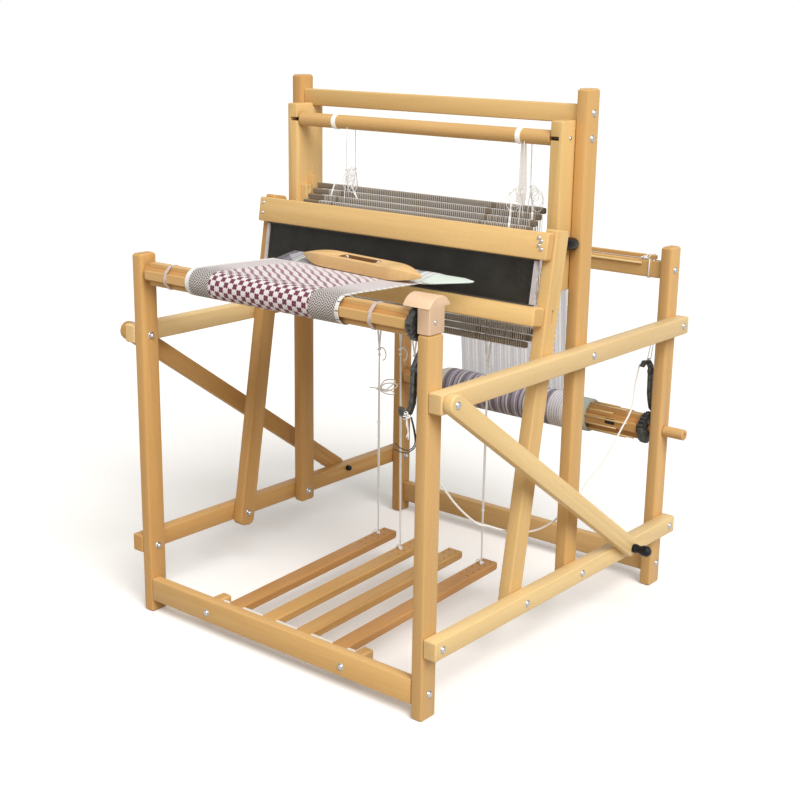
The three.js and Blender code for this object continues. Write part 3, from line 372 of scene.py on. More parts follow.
sides = (("left", -1), ("right", 1))
lean = radians(9.2)
brace_top, brace_foot = (21, 604), (657, 158)
brace_slope = atan2(brace_top[1] - brace_foot[1], brace_foot[0] - brace_top[0])
boards = []
for side, _ in sides:
    boards += [(f"post_front_{side}", "Z", 0), (f"post_rear_{side}", "Z", 0), (f"upper_rail_{side}", "Y", 0),
               (f"lower_rail_{side}", "Y", 0), (f"brace_{side}", "Y", brace_slope),
               (f"castle_post_{side}", "Z", 0),
               (f"castle_cheek_{side}", "Z", 0), (f"treadle_bracket_{side}", "Z", 0)]
boards += [("front_cross_rail", "X", 0), ("rear_cross_rail", "X", 0), ("castle_rail", "X", 0)]
# Lighter tones on the castle and the upper and right-hand rails, darker amber on the left-hand posts, rail
# and brace: painted light and shade.
for node, along, tilt in boards:
    tones = straw if node.startswith(("castle_rail", "castle_cheek")) else honey
    if node in ("upper_rail_left", "upper_rail_right", "lower_rail_right", "brace_right"):
        tones = cream
    if node in ("castle_post_left", "post_front_left", "post_rear_left", "brace_left", "lower_rail_left"):
        tones = amber
    planed(node, f"{node}_beech", beech(f"beech, {node.replace('_', ' ')}", along, tones, tilt), "frame")
# The darker amber of the left beater arm is painted shade.
for node, along, tilt in (("beater_arm_left", "Z", lean), ("beater_arm_right", "Z", lean),
                          ("beater_cap", "X", 0), ("race_rail", "X", 0)):
    planed(node, f"{node}_beech", beech(f"beech, {node.replace('_', ' ')}", along,
           amber if node == "beater_arm_left" else straw, tilt), "beater")
# The treadles' darker russet and amber are partly painted shade and partly the wood's own tone.
for number in (1, 2, 3, 4):
    planed(f"treadle_{number}", f"treadle_{number}_beech", beech(f"beech, treadle {number}", "Y",
           russet if number in (1, 4) else amber), f"treadle_{number}", ease=0.0024)
planed("bearing_block", "bearing_block_beech", beech("beech, bearing block", "Z", pale), "frame",
       "pale_beech")


# Bolts, nuts and screws
# Zinc-plated carriage bolts hold rails, posts and castle, with domed heads outside and cap nuts
# inside; small round-head screws hold the cap rail, the cheeks and the bearing block.
def ended(group, row, given):
    """A group's copies made real, smooth and finished."""
    real = add(group, "GeometryNodeRealizeInstances", Geometry=row.outputs[0])
    smoothed = add(group, "GeometryNodeSetShadeSmooth", Geometry=real.outputs[0])
    done = add(group, "GeometryNodeSetMaterial", Geometry=smoothed.outputs[0], Material=given["Finish"])
    add(group, "NodeGroupOutput", Geometry=done.outputs[0])
    return group


def heads_tree():
    """A domed head with its washer on every given point."""
    group = bpy.data.node_groups.new("Domed heads", "GeometryNodeTree")
    given = group_sockets(group, (("Geometry", "Geometry"), ("Head Radius", "Float", 0.006),
                                  ("Head Height", "Float", 0.004), ("Washer Radius", "Float", 0.0075),
                                  ("Facing", "Rotation"), ("Finish", "Material")),
                          (("Geometry", "Geometry"),))
    ball = add(group, "GeometryNodeMeshUVSphere", Segments=18, Rings=8, Radius=1.0)
    size = add(group, "ShaderNodeCombineXYZ", X=given["Head Radius"], Y=given["Head Radius"],
               Z=given["Head Height"])
    dome = add(group, "GeometryNodeTransform", Geometry=ball.outputs["Mesh"], Scale=size.outputs[0],
               Translation=(0, 0, 0.0006))
    disc = add(group, "GeometryNodeMeshCylinder", Vertices=20, Radius=given["Washer Radius"], Depth=0.0014)
    pair = add(group, "GeometryNodeJoinGeometry", Geometry=dome.outputs[0])
    feed(pair, Geometry=disc.outputs["Mesh"])
    return ended(group, add(group, "GeometryNodeInstanceOnPoints", Points=given["Geometry"],
                            Instance=pair.outputs[0], Rotation=given["Facing"]), given)


def grown(name, group, values, points=(), lines=()):
    """A Geometry Nodes piece on points or lines, turned into a plain mesh."""
    vertices, edges = list(points), []
    for line in lines:
        edges += [(len(vertices) + k, len(vertices) + k + 1) for k in range(len(line) - 1)]
        vertices += line
    data = bpy.data.meshes.new(name)
    data.from_pydata(vertices, edges, [])
    piece = placed(name, data)
    nodes = piece.modifiers.new(name, "NODES")
    nodes.node_group = group
    for item in group.interface.items_tree:
        if item.item_type == "SOCKET" and item.in_out == "INPUT" and item.name in values:
            nodes[item.identifier] = values[item.name]
    return settled(piece)


def heads(name, facing, places, radius=0.006, height=0.004, washer=0.0075, body="frame"):
    """Zinc heads that face one way."""
    values = {"Facing": facing, "Finish": zinc, "Head Radius": radius, "Head Height": height,
              "Washer Radius": washer}
    fit(grown(name, domed_heads, values, places), body, "steel")


def uneven(shader, scale, detail, most, least):
    """Roughness that wavers over the piece."""
    tree = shader.id_data
    feed(shader, Roughness=calc(tree, "MULTIPLY_ADD", noise(tree, scale, detail), most, least))


zinc, tree, shader = blank("bright zinc", 0.3, 1.0, (0.46, 0.46, 0.465))
uneven(shader, 320, 3, 0.22, 0.18)
domed_heads = heads_tree()
outer, inner, rail_face, brace_face = 380, 353, 409.3, 428.6
upper_z, lower_z, post_y, pivot_y = 604, 148, (21, 487, 851), 288
for side, s in sides:
    bolts = [(brace_face, *brace_top)] + [(rail_face, y, upper_z) for y in post_y[1:]]
    bolts += [(rail_face, y, lower_z) for y in (post_y[0], pivot_y, *post_y[1:])]
    bolts += [(outer, 22, 50), (outer, 855, 50), (outer, 850, 722), (outer, 488, 1066), (outer, 485, 1019)]
    outward, inward = (0, s * pi / 2, 0), (0, -s * pi / 2, 0)
    heads(f"bolt_heads_{side}", outward, [at(s * x, y, z) for x, y, z in bolts], 0.0062)
    nuts = [at(s * inner, y, z) for y in post_y for z in (lower_z, upper_z)]
    heads(f"cap_nuts_{side}", inward, nuts, 0.0055, 0.007)
    heads(f"pivot_nut_{side}", inward, [at(s * inner, pivot_y, lower_z)], height=0.008, body="beater")
    heads(f"cheek_screw_{side}", outward, [at(s * 352.7, 452, 1020)], 0.0036, 0.002, 0.0037)
heads("bracket_bolts", (pi / 2, 0, 0), [at(-186, 0, 49), at(184, 0, 49)], 0.0058)
heads("block_screw", (0, pi / 2, 0), [at(outer, 16, 741)], 0.004, 0.0022, 0.0042)


def on_beater(x, d, w):
    """A place on the beater: d in front of (minus) or behind its arms, w up along them."""
    return at(x, pivot_y + d * cos(lean) + w * sin(lean), lower_z - d * sin(lean) + w * cos(lean))


cap_front = -43.3
cap_screws = [(-362, 697), (-362, 676), (355, 698), (361, 692), (357, 684), (363, 677)]
heads("cap_rail_screws", (pi / 2 - lean, 0, 0), [on_beater(x, cap_front, w) for x, w in cap_screws], 0.0036,
      0.0022, 0.0038, "beater")


# Roller, pins and bumpers
# A turned beech roller on steel pins hangs the shafts; white tape is wound on it in two places.
# The beater's bumpers are black rubber domes that meet the castle posts.
def lathe(name, profile, centre, material, body, slot, *nodes, sides=40, axis="X"):
    """A turned piece about a line along X or Y, from pairs of distance along it and radius."""
    mesh = bmesh.new()
    rings = []
    for along, radius in profile:
        ring = []
        for k in range(sides if radius > 1e-6 else 1):
            a = 2 * pi * k / sides
            if axis == "X":
                p = (along, radius * cos(a), radius * sin(a))
            else:
                p = (radius * cos(a), along, radius * sin(a))
            ring.append(mesh.verts.new(Vector(p) / 1000 + centre))
        rings.append(ring)
    for a, b in zip(rings, rings[1:]):
        for k in range(sides):
            corners = [a[k % len(a)], a[(k + 1) % len(a)], b[(k + 1) % len(b)], b[k % len(b)]]
            corners = list(dict.fromkeys(corners))
            if len(corners) > 2:
                mesh.faces.new(corners)
    bmesh.ops.recalc_face_normals(mesh, faces=mesh.faces)
    return fit(made(name, mesh, material, sharp=40), body, slot, *nodes)


roller_half, roller_r, roller_y, roller_z = 322.4, 14.6, 440, 1019.5
roller_axis = at(0, roller_y, roller_z)
lathe("roller_beech", [(-roller_half, 0), (-roller_half, roller_r - 1.6), (-roller_half + 1.6, roller_r),
                       (roller_half - 1.6, roller_r), (roller_half, roller_r - 1.6), (roller_half, 0)],
      roller_axis, beech("beech, roller", "X"), "roller", "beech", "roller")
dark_steel, tree, shader = blank("dark oiled steel", 0.4, 0.9, (0.10, 0.09, 0.08))
uneven(shader, 260, 3, 0.3, 0.25)
for side, s in sides:
    pin = [(s * (roller_half + d), r) for d, r in ((-1, 0), (-1, 3.4), (17, 3.4), (18, 2.6), (18, 0))]
    lathe(f"roller_pin_{side}", pin, roller_axis, dark_steel, "roller", "steel", sides=20)
# The tape glows faintly in its own woven colour: painted light.
tape, tree, shader = blank("white cotton tape", 0.8, Emission_Strength=0.18)
weave = add(tree, "ShaderNodeTexBrick", Vector=add(tree, "ShaderNodeTexCoord").outputs["Object"], Scale=700.0,
            Color1=(0.94, 0.93, 0.92, 1), Color2=(0.89, 0.88, 0.87, 1), Mortar=(0.82, 0.81, 0.80, 1)).outputs
feed(shader, Base_Color=weave[0], Emission_Color=weave[0])
relief(shader, 0.4, 0.0003, weave[1])
for side, x in (("left", -222), ("right", 250)):
    lathe(f"roller_tape_{side}", [(-5.5, 14.7), (-5.5, 15.8), (-1.6, 16.4), (-0.8, 16.1), (2.4, 16.5),
                                  (5.5, 15.8),
                                  (5.5, 14.7)], at(x, roller_y, roller_z), tape, "roller", "cotton")
rubber, tree, shader = blank("black rubber", 0.2, 0, (0.004, 0.004, 0.0045), Specular_IOR_Level=0.14)
uneven(shader, 220, 4, 0.25, 0.08)
castle_y, bumper_gap, bumper_up, arm_x = 466, 0.3, 692, 380 - 0.6 - 26.4 / 2
bumper_end = (castle_y - bumper_gap - pivot_y - bumper_up * sin(lean)) / cos(lean)
for side, s in sides:
    dome = [(0, 0), (0, 12), (1.5, 12.8)]
    dome += [(bumper_end + d, r) for d, r in ((-30, 12.6), (-25, 10.4), (-22.6, 6), (-22, 0))]
    bumper = lathe(f"bumper_{side}", dome, Vector((0, 0, 0)), rubber, "beater", "black_plastic", axis="Y",
                   sides=28)
    foot = on_beater(s * arm_x, 21.2, bumper_up)
    bumper.data.transform(Matrix.Translation(foot) @ Matrix.Rotation(-lean, 4, "X"))


# Brace knobs
# Black moulded hand knobs, each with a steel bolt moulded in. They screw the feet of the
# braces to the lower rails and come out when the loom is folded.
black, tree, shader = blank("black moulded plastic", 0.38, 0, (0.008, 0.008, 0.009), Specular_IOR_Level=0.2)
relief(shader, 0.25, 0.0003, noise(tree, 900))
for side, _ in sides:
    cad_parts[f"brace_knob_{side}"].material_slots[0].material = black


# Cast ratchets and pawls
# Dark cast iron wheels with slanted teeth, fixed on the right ends of both beams. A long cast
# pawl pinned to the post stands at each.
cast, tree, shader = blank("dark cast iron", 0.5, 0.75)
sand = noise(tree, 520, 4)
# The iron is lighter grey in random patches.
patchy_grey = mix(tree, span(tree, noise(tree, 130, 4), 0.42, 0.82), (0.055, 0.057, 0.057), (0.17, 0.17, 0.162))
feed(shader, Base_Color=patchy_grey, Roughness=calc(tree, "MULTIPLY_ADD", sand, 0.3, 0.32))
relief(shader, 0.35, 0.0006, sand)
for node, body in (("cloth_ratchet", "cloth_beam"), ("warp_ratchet", "warp_beam"),
                   ("cloth_pawl", "cloth_pawl"), ("warp_pawl", "warp_pawl")):
    planed(node, f"{node}_cast", cast, body, "cast_iron", ease=0.0006, sharp=30)


# Four shafts
# Each shaft is two slim grey-brown sticks with string heddles looped round both. Every warp
# thread runs through the eye of its own heddle; plain spare heddles fill the rest of the shaft.
def sticks(name, boxes, material, body, slot, *nodes, ease=0.0015, turn=None, turns=(0,)):
    """Planed sticks between pairs of corners on the loom, turned about a line if need be."""
    mesh = bmesh.new()
    for low, high in boxes:
        a, b = at(*low), at(*high)
        for angle in turns:
            cube = bmesh.ops.create_cube(mesh, size=1)["verts"]
            place = Matrix.Translation((a + b) / 2) @ Matrix.Diagonal((*(b - a), 1))
            if turn is not None:
                swung = Matrix.Rotation(angle, 4, "X") @ Matrix.Translation(-turn)
                place = Matrix.Translation(turn) @ swung @ place
            bmesh.ops.transform(mesh, matrix=place, verts=cube)
    return fit(rubbed(made(name, mesh, material), ease, 3, 24), body, slot, *nodes)


def row_tree():
    """A strand along the given line, repeated in a straight row with a little play."""
    group = bpy.data.node_groups.new("Row of strands", "GeometryNodeTree")
    given = group_sockets(group, (("Geometry", "Geometry"), ("Strand Radius", "Float", 0.0005),
                                  ("Count", "Int", 10),
                                  ("First", "Vector"), ("Step", "Vector", (0.01, 0, 0)), ("Play", "Float"),
                                  ("Seed", "Int", 3), ("Finish", "Material")), (("Geometry", "Geometry"),))
    line = add(group, "GeometryNodeMeshToCurve", Mesh=given["Geometry"])
    ring = add(group, "GeometryNodeCurvePrimitiveCircle", Resolution=5, Radius=given["Strand Radius"])
    strand = add(group, "GeometryNodeCurveToMesh", Curve=line.outputs[0], Profile_Curve=ring.outputs[0],
                 Fill_Caps=True)
    places = add(group, "GeometryNodeMeshLine", {"mode": "OFFSET"}, Count=given["Count"],
                 Start_Location=given["First"], Offset=given["Step"])
    least = add(group, "ShaderNodeCombineXYZ", X=calc(group, "MULTIPLY", given["Play"], -1.0))
    most = add(group, "ShaderNodeCombineXYZ", X=given["Play"])
    play = add(group, "FunctionNodeRandomValue", {"data_type": "FLOAT_VECTOR"}, i0=least.outputs[0],
               i1=most.outputs[0], Seed=given["Seed"])
    moved = add(group, "GeometryNodeSetPosition", Geometry=places.outputs[0], Offset=play.outputs[0])
    return ended(group, add(group, "GeometryNodeInstanceOnPoints", Points=moved.outputs[0],
                            Instance=strand.outputs[0]), given)


def as_one(name, pieces):
    """Several pieces of one finish joined into one."""
    mesh = bmesh.new()
    finish = pieces[0].data.materials[0]
    for piece in pieces:
        mesh.from_mesh(piece.data)
        bpy.data.objects.remove(piece)
    return made(name, mesh, finish)


shaft_wood, tree, shader = blank("grey-brown shaft wood", 0.6)
where = add(tree, "ShaderNodeTexCoord").outputs["Object"]
drawn = add(tree, "ShaderNodeMapping", Vector=where, Scale=(6.0, 160.0, 160.0)).outputs[0]
streaks = noise(tree, 1, 4, drawn)
feed(shader, Base_Color=mix(tree, streaks, (0.115, 0.09, 0.062), (0.30, 0.235, 0.17)))
relief(shader, 0.2, 0.0004, streaks)
heddle_string, tree, shader = blank("heddle string", 0.85)
where = add(tree, "ShaderNodeTexCoord").outputs["Object"]
level = span(tree, noise(tree, 150, 3, where), 0.38, 0.62)
# The strings are darker and browner where they wrap round the sticks.
tone_off_sticks = mix(tree, level, (0.44, 0.40, 0.41), (0.78, 0.75, 0.78))
tone_at_sticks = mix(tree, level, (0.10, 0.078, 0.06), (0.235, 0.195, 0.17))
shaft_middle = 0.7483
from_middle = calc(tree, "SUBTRACT", add(tree, "ShaderNodeSeparateXYZ", Vector=where).outputs[2],
                   shaft_middle)
on_stick = span(tree, calc(tree, "ABSOLUTE", from_middle), 0.078, 0.094)
feed(shader, Base_Color=mix(tree, on_stick, tone_off_sticks, tone_at_sticks))

thread_pitch, thread_count, first_thread = 2.5, 154, -206.55
shaft_y = [417.5, 432.5, 447.5, 462.5]
bar_top = [845.25 + 10.7 * i for i in range(4)]
bar_foot = [619.25 + 10.7 * i for i in range(4)]
eye_z = [722, 730, 716, 734]
row_of = row_tree()
for i, y in enumerate(shaft_y):
    body = f"shaft_{i + 1}"
    top, foot, eye = bar_top[i], bar_foot[i], eye_z[i]
    sticks(f"{body}_sticks", [((-298, y - 4.5, z - 6), (298, y + 4.5, z + 6)) for z in (top, foot)],
           shaft_wood, body, "heddle_grey", body, ease=0.0028)
    side_up = [(5.1, top - 6), (0.45, eye + 52), (0.45, eye + 10), (0.45, eye - 9), (0.45, eye - 48),
               (5.1, foot + 6), (5.1, foot - 5), (3.8, foot - 6.6)]
    around = [(0, a, z) for a, z in side_up] + [(0, -a, z) for a, z in side_up[:3:-1] + side_up[1::-1]]
    around += [(0, -5.1, top + 5), (0, -3.8, top + 6.6), (0, 3.8, top + 6.6), (0, 5.1, top + 5),
               (0, 5.1, top - 6)]
    plain_heddle = [Vector(p) / 1000 for p in around]
    eyed = around[:3] + [(2.7, 0.2, eye + 4.7), (2.7, 0.2, eye - 4.3)] + around[3:]
    eyed_heddle = [Vector(p) / 1000 for p in eyed]
    rows = []
    own = first_thread + thread_pitch * i
    for x, step, count, play, form in ((own - 1.3, 10, len(range(i, thread_count, 4)), 0, eyed_heddle),
                                       (own + 3.75, 10, len(range(i, thread_count, 4)) - 1, 0, plain_heddle),
                                       (-249 + i, 4.4, 8, 0.0009, plain_heddle),
                                       (184 + i, 4.6, 23, 0.0009, plain_heddle)):
        values = {"Strand Radius": 0.00042, "Count": count, "First": at(x, y, 0), "Step": (step / 1000, 0, 0),
                  "Play": play, "Seed": 5 + i, "Finish": heddle_string}
        rows.append(grown(f"row_{i}_{x:.0f}", row_of, values, lines=[form]))
    fit(as_one(f"{body}_heddles", rows), body, "heddle_grey")


# Hanging cords
# Thin white strings are wound on the roller and knotted above each pair of shafts, with curly
# loose ends. White tapes are slung round the front sticks.
def double(a, b, apart, seed, steps=10):
    """Two strings side by side between two knots, a little loose."""
    turn = random.Random(seed)
    lines = []
    run = b - a
    side = run.cross(Vector((0.3, 0.5, 0.1))).normalized()
    for s in (-1, 1):
        swell = turn.uniform(0.7, 1.3)
        line = []
        for k in range(steps + 1):
            t = k / steps
            swing = sin(pi * t) * apart * swell * s / 2 + sin(2 * pi * t + turn.uniform(0, 1)) * apart * 0.08
            line.append(a + run * t + side * (swing + s * 0.0004))
        lines.append(line)
    return lines


def knot(centre, size, seed, loops=3):
    """A hand-tied knot: one string passed several times round itself."""
    turn = random.Random(seed)
    line = []
    tilt = Matrix.Rotation(turn.uniform(0, pi), 3, "Z") @ Matrix.Rotation(turn.uniform(0.2, 0.9), 3, "X")
    count = 9 * loops
    for k in range(count + 1):
        a = 2 * pi * k / 9
        r = size * (0.62 + 0.30 * sin(a * 1.37 + seed))
        line.append(centre + tilt @ Vector((r * cos(a), r * sin(a), size * (-0.7 + 1.4 * k / count))))
    return line


def curl(start, size, seed, turns=1.2, drop=0.4):
    """A loose end that curls in a thin loop."""
    turn = random.Random(seed)
    heading = turn.uniform(-0.5, 0.5) + (0 if seed % 2 else pi)
    line = []
    for k in range(15):
        t = k / 14
        a = 2 * pi * turns * t
        out = size * (1 - cos(a)) / 2 + size * 0.25 * t
        line.append(start + Vector((cos(heading) * out, sin(heading) * out * 0.5,
                                    size * (sin(a) * 0.55 - drop * t))))
    return line


def bend(piece, upper, lower, start, end, *nodes):
    """String between two bodies that move apart, fixed where it lies and standing for the CAD nodes, which it
    hides; upper, lower, start and end are not used.
    """
    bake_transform(piece)
    if nodes:
        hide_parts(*nodes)


string = cotton("thin white string", (0.93, 0.93, 0.93), pitch=0.003)
drop_out, knot_z = 13.2, 922
for pair, s, shafts in (("front", -1, (0, 1)), ("back", 1, (2, 3))):
    for side, x in (("left", -183), ("right", 266)):
        mid = (shaft_y[shafts[0]] + shaft_y[shafts[1]]) / 2
        tie = at(x, mid, knot_z)
        seed = int(x) % 97 + (s > 0)
        top = at(x, roller_y + s * drop_out, roller_z - 9)
        piece = tube(f"hang_strings_{pair}_{side}", double(top, tie, 0.0024, seed), 0.0006, string, 6)
        bend(piece, "frame", f"{pair}_hang", top, tie, f"hang_cord_{pair}_{side}")
        lines = [knot(tie, 0.0034, seed), knot(tie + Vector((0.001, 0, -0.010)), 0.0028, seed + 4)]
        for k in range(4):
            lines.append(curl(tie + Vector((0, 0, -0.004 - 0.006 * k)), 0.016 + 0.005 * k,
                              seed + 11 * k + k % 2))
        fit(tube(f"hang_knots_{pair}_{side}", lines, 0.0006, string, 6), f"{pair}_hang", "cotton")
        for k in shafts:
            fork = at(x, shaft_y[k], bar_top[k] + 6.9)
            piece = tube(f"hang_fork_{k + 1}_{side}", double(tie, fork, 0.0018, seed + 7 + k, 5), 0.0006,
                         string, 6)
            bend(piece, f"{pair}_hang", f"shaft_{k + 1}", tie, fork)


def strap(name, points, width, material, end_width=None, thick=0.0007):
    """A flat tape along a line of points, wider or narrower at its end."""
    mesh = bmesh.new()
    rows = []
    for i, p in enumerate(points):
        d = (points[min(i + 1, len(points) - 1)] - points[max(i - 1, 0)]).normalized()
        wide = (Vector((1, 0, 0)) - d * d.x).normalized()
        out = d.cross(wide) * thick / 2
        half = (width + ((end_width or width) - width) * i / (len(points) - 1)) / 2
        rows.append([mesh.verts.new(p + wide * w * half + out * o)
                     for w, o in ((-1, -1), (1, -1), (1, 1), (-1, 1))])
    for a, b in zip(rows, rows[1:]):
        for k in range(4):
            mesh.faces.new((a[k], a[(k + 1) % 4], b[(k + 1) % 4], b[k]))
    mesh.faces.new(rows[0][::-1])
    mesh.faces.new(rows[-1])
    bmesh.ops.recalc_face_normals(mesh, faces=mesh.faces)
    return made(name, mesh, material, sharp=50)


slung = {"left": ((3, 2), -231.44, -0.8358, 0.4165), "slanting": ((3, 2), 793.73, -0.9735, -0.6161),
         "right": ((3, 2, 1, 0), 462.76, -0.6785, 0.0763), "short": ((3, 2), 580.88, -0.6649, -0.0069)}
for name, (crossed, start, per_y, per_z) in slung.items():
    for k in crossed:
        y, z = shaft_y[k], bar_top[k]
        line = [at(start + per_y * b + per_z * c, b, c) for b, c in
                ((y + 4.6, z + 7.3), (y - 4.2, z + 7.3), (y - 5.9, z + 5.4), (y - 5.9, z),
                 (y - 5.9, z - 5.5))]
        fit(strap(f"shaft_tape_{name}_{k + 1}", line, 0.0042, tape), f"shaft_{k + 1}", "cotton")
line = smooth([at(245, roller_y + 17.4, roller_z - 1), at(245, roller_y + 17.2, roller_z - 30),
               at(244, 459, 950), at(242, 462, 912), at(237, 463, 887)], 5)
bend(strap("roller_tape_end", line[:11], 0.0105, tape, 0.0168), "frame", "back_hang", line[0], line[10])
bend(strap("roller_tape_foot", line[10:], 0.0168, tape, 0.023), "back_hang", "shaft_4", line[10], line[-1])


# Wooden fingers in the castle
# Two short upright fingers of pale beech stand against the left cheek beside the shafts' ends.
# The front one has a dark saw slot in its top.
finger_wood = beech("beech, castle fingers", "Z", straw)
for name, boxes, ease in (
        ("front", [((-325.5, 436, 836), (-311, 444.5, 879)), ((-325.5, 447.5, 836), (-311, 455.5, 879))],
         0.0012),
        ("web", [((-325.5, 443, 836), (-311.4, 449, 868))], 0.0004),
        ("rear", [((-325.5, 459.5, 836), (-312, 474, 897)), ((-325.5, 476, 836), (-313, 489, 884))], 0.0012)):
    sticks(f"castle_finger_{name}", boxes, finger_wood, "frame", "pale_beech", ease=ease)


# Reed
# A fine reed of dark steel dents between two bound baulks, with pale end strips, held in slots
# of the race rail and the cap.
def mottled(name, low, high, scale, detail=3.0, roughness=0.5, metallic=0.0):
    """A finish that wavers between two tones."""
    material, tree, shader = blank(name, roughness, metallic)
    feed(shader, Base_Color=mix(tree, noise(tree, scale, detail), low, high))
    return material


dent_steel = mottled("dark steel dents", (0.036, 0.036, 0.033), (0.085, 0.083, 0.074), 30, 3, 0.42, 0.55)
bound, tree, shader = blank("tar-bound baulk", 0.65)
coil = add(tree, "ShaderNodeTexWave", {"bands_direction": "X"}, Scale=320.0,
           Vector=add(tree, "ShaderNodeTexCoord").outputs["Object"]).outputs["Fac"]
feed(shader, Base_Color=mix(tree, coil, (0.028, 0.028, 0.026), (0.085, 0.083, 0.078)))
relief(shader, 0.5, 0.0004, coil)
strip = mottled("pale end strip", (0.36, 0.34, 0.37), (0.66, 0.64, 0.68), 60, 4)


def flats(name, boxes, material, *nodes):
    """Thin flat pieces set in the beater, each from its corners across, deep and up the arm."""
    mesh = bmesh.new()
    for x, d, w in boxes:
        box = [mesh.verts.new(on_beater(x[a], d[b], w[c])) for a in (0, 1) for b in (0, 1) for c in (0, 1)]
        for face in ((0, 1, 3, 2), (4, 6, 7, 5), (0, 4, 5, 1), (2, 3, 7, 6), (0, 2, 6, 4), (1, 5, 7, 3)):
            mesh.faces.new([box[k] for k in face])
    bmesh.ops.recalc_face_normals(mesh, faces=mesh.faces)
    fit(made(name, mesh, material, rounded=False), "beater", "reed_steel", *nodes)


reed_half, reed_mid, reed_foot, reed_head, baulk, strip_half = 352, -30.3, 561, 665, 11, 3.2
deep, thick, edge = [(reed_mid - half, reed_mid + half) for half in (2.2, 4.6, 4.4)]
dent_x = [first_thread + thread_pitch * (80.5 + k) for k in range(-139, 141)]
flats("reed_dents", [((x - 0.35, x + 0.35), deep, (reed_foot + 3, reed_head - 3)) for x in dent_x
                     if abs(x) < reed_half - 7], dent_steel, "reed")
flats("reed_baulks", [((-reed_half, reed_half), thick, (z, z + baulk))
                      for z in (reed_foot, reed_head - baulk)],
      bound)
strip_x = [s * (reed_half - strip_half) for s in (-1, 1)]
flats("reed_end_strips", [((x - strip_half, x + strip_half), edge, (reed_foot + baulk, reed_head - baulk))
                          for x in strip_x], strip)


# Cloth beam
# A turned core with four beech sticks laid along it, bound with grey-white tape near both ends,
# on a steel axle in the front posts.
# The greyed copy keeps the tape's faint painted glow.
worn_tape = tape.copy()
worn_tape.name = "greyed tape"
for node in worn_tape.node_tree.nodes:
    if node.bl_idname == "ShaderNodeTexBrick":
        node.inputs["Color1"].default_value = (0.62, 0.52, 0.49, 1)
        node.inputs["Color2"].default_value = (0.50, 0.42, 0.40, 1)
        node.inputs["Mortar"].default_value = (0.36, 0.30, 0.29, 1)


def bound_sticks(name, y, z, out, wide, x, width, body):
    """Tape drawn tight over the corners of the four sticks."""
    corners = []
    r, half = out + 0.35, wide / 2 + 0.25
    for q in range(4):
        a = q * pi / 2
        corners += [(y + r * sin(a) + t * cos(a), z + r * cos(a) - t * sin(a)) for t in (-half, half)]
    line = [at(x + 1.2 * sin(k), *corner) for k, corner in enumerate(corners + corners[:2])]
    fit(strap(name, line, width / 1000, worn_tape, thick=0.0009), body, "cotton")


def beam(name, y, z, core, out, wide, right, tones):
    """A turned core with four sticks laid along it."""
    words = f"beech, {name.replace('_', ' ')}"
    lathe(f"{name}_core", [(-350.7, 8.2), (-350.7, core - 1), (-349.7, core), (right, core),
                           (right + 1, core - 1),
                           (right + 1, 8.2)], at(0, y, z), beech(words, "X", russet), name, "beech", name)
    sticks(f"{name}_sticks", [((-338.7, y - wide / 2, z + core - 3), (right - 5, y + wide / 2, z + out))],
           beech(f"{words} sticks", "X", tones), name, "beech", turn=at(0, y, z), ease=0.0016,
           turns=[q * pi / 2 for q in range(4)])


cloth_y, cloth_z, cloth_out = 20, 733, 23
beam("cloth_beam", cloth_y, cloth_z, 17, cloth_out, 18, 333.4, honey)
lathe("cloth_beam_axle", [(-374, 0), (-374, 7.4), (-373, 8), (372, 8), (373, 7.4), (373, 0)],
      at(0, cloth_y, cloth_z), zinc, "cloth_beam", "steel", sides=28)
for side, x in (("left", -278), ("right", 250)):
    bound_sticks(f"cloth_beam_tape_{side}", cloth_y, cloth_z, cloth_out, 18, x, 8, "cloth_beam")


# Warp beam
# The same kind of beam, larger, on a beech axle that stands out on the right. The warp is wound
# on it with paper between its layers, and thin sticks stick out of the roll.
warp_y, warp_z, warp_out = 850, 364, 28
warp_axis = at(0, warp_y, warp_z)
beam("warp_beam", warp_y, warp_z, 20, warp_out, 20, 329.4, amber)
lathe("warp_beam_axle", [(-376, 0), (-376, 7), (-375, 8), (381, 8), (381, 11), (382, 12), (428.5, 12),
                         (430, 10.6), (430, 4.2), (425, 4), (425, 0)],
      warp_axis, beech("beech, warp axle", "X"), "warp_beam", "beech", sides=28)
bound_sticks("warp_beam_tape", warp_y, warp_z, warp_out, 20, -300, 13, "warp_beam")
# A near-black patch on the front of the roll near its right end is painted shade, where shade falls by the
# beam's end.
painted_shade_patch = mottled("painted shade patch", (0.012, 0.010, 0.009), (0.05, 0.04, 0.03), 300, 2, 0.9)
sticks("warp_beam_shade_patch", [((245, warp_y - warp_out - 0.25, warp_z - 3),
                           (270, warp_y - warp_out + 2, warp_z + 9.8))],
       painted_shade_patch, "warp_beam", "beech", ease=0.0002)


def paper(name, colour, spots):
    """Thin packing paper, clouded and creased."""
    material, tree, shader = blank(name, 0.75)
    feed(shader, Base_Color=mix(tree, noise(tree, 45, 5), [c * spots for c in colour], colour))
    relief(shader, 0.2, 0.0005, noise(tree, 400))
    return material


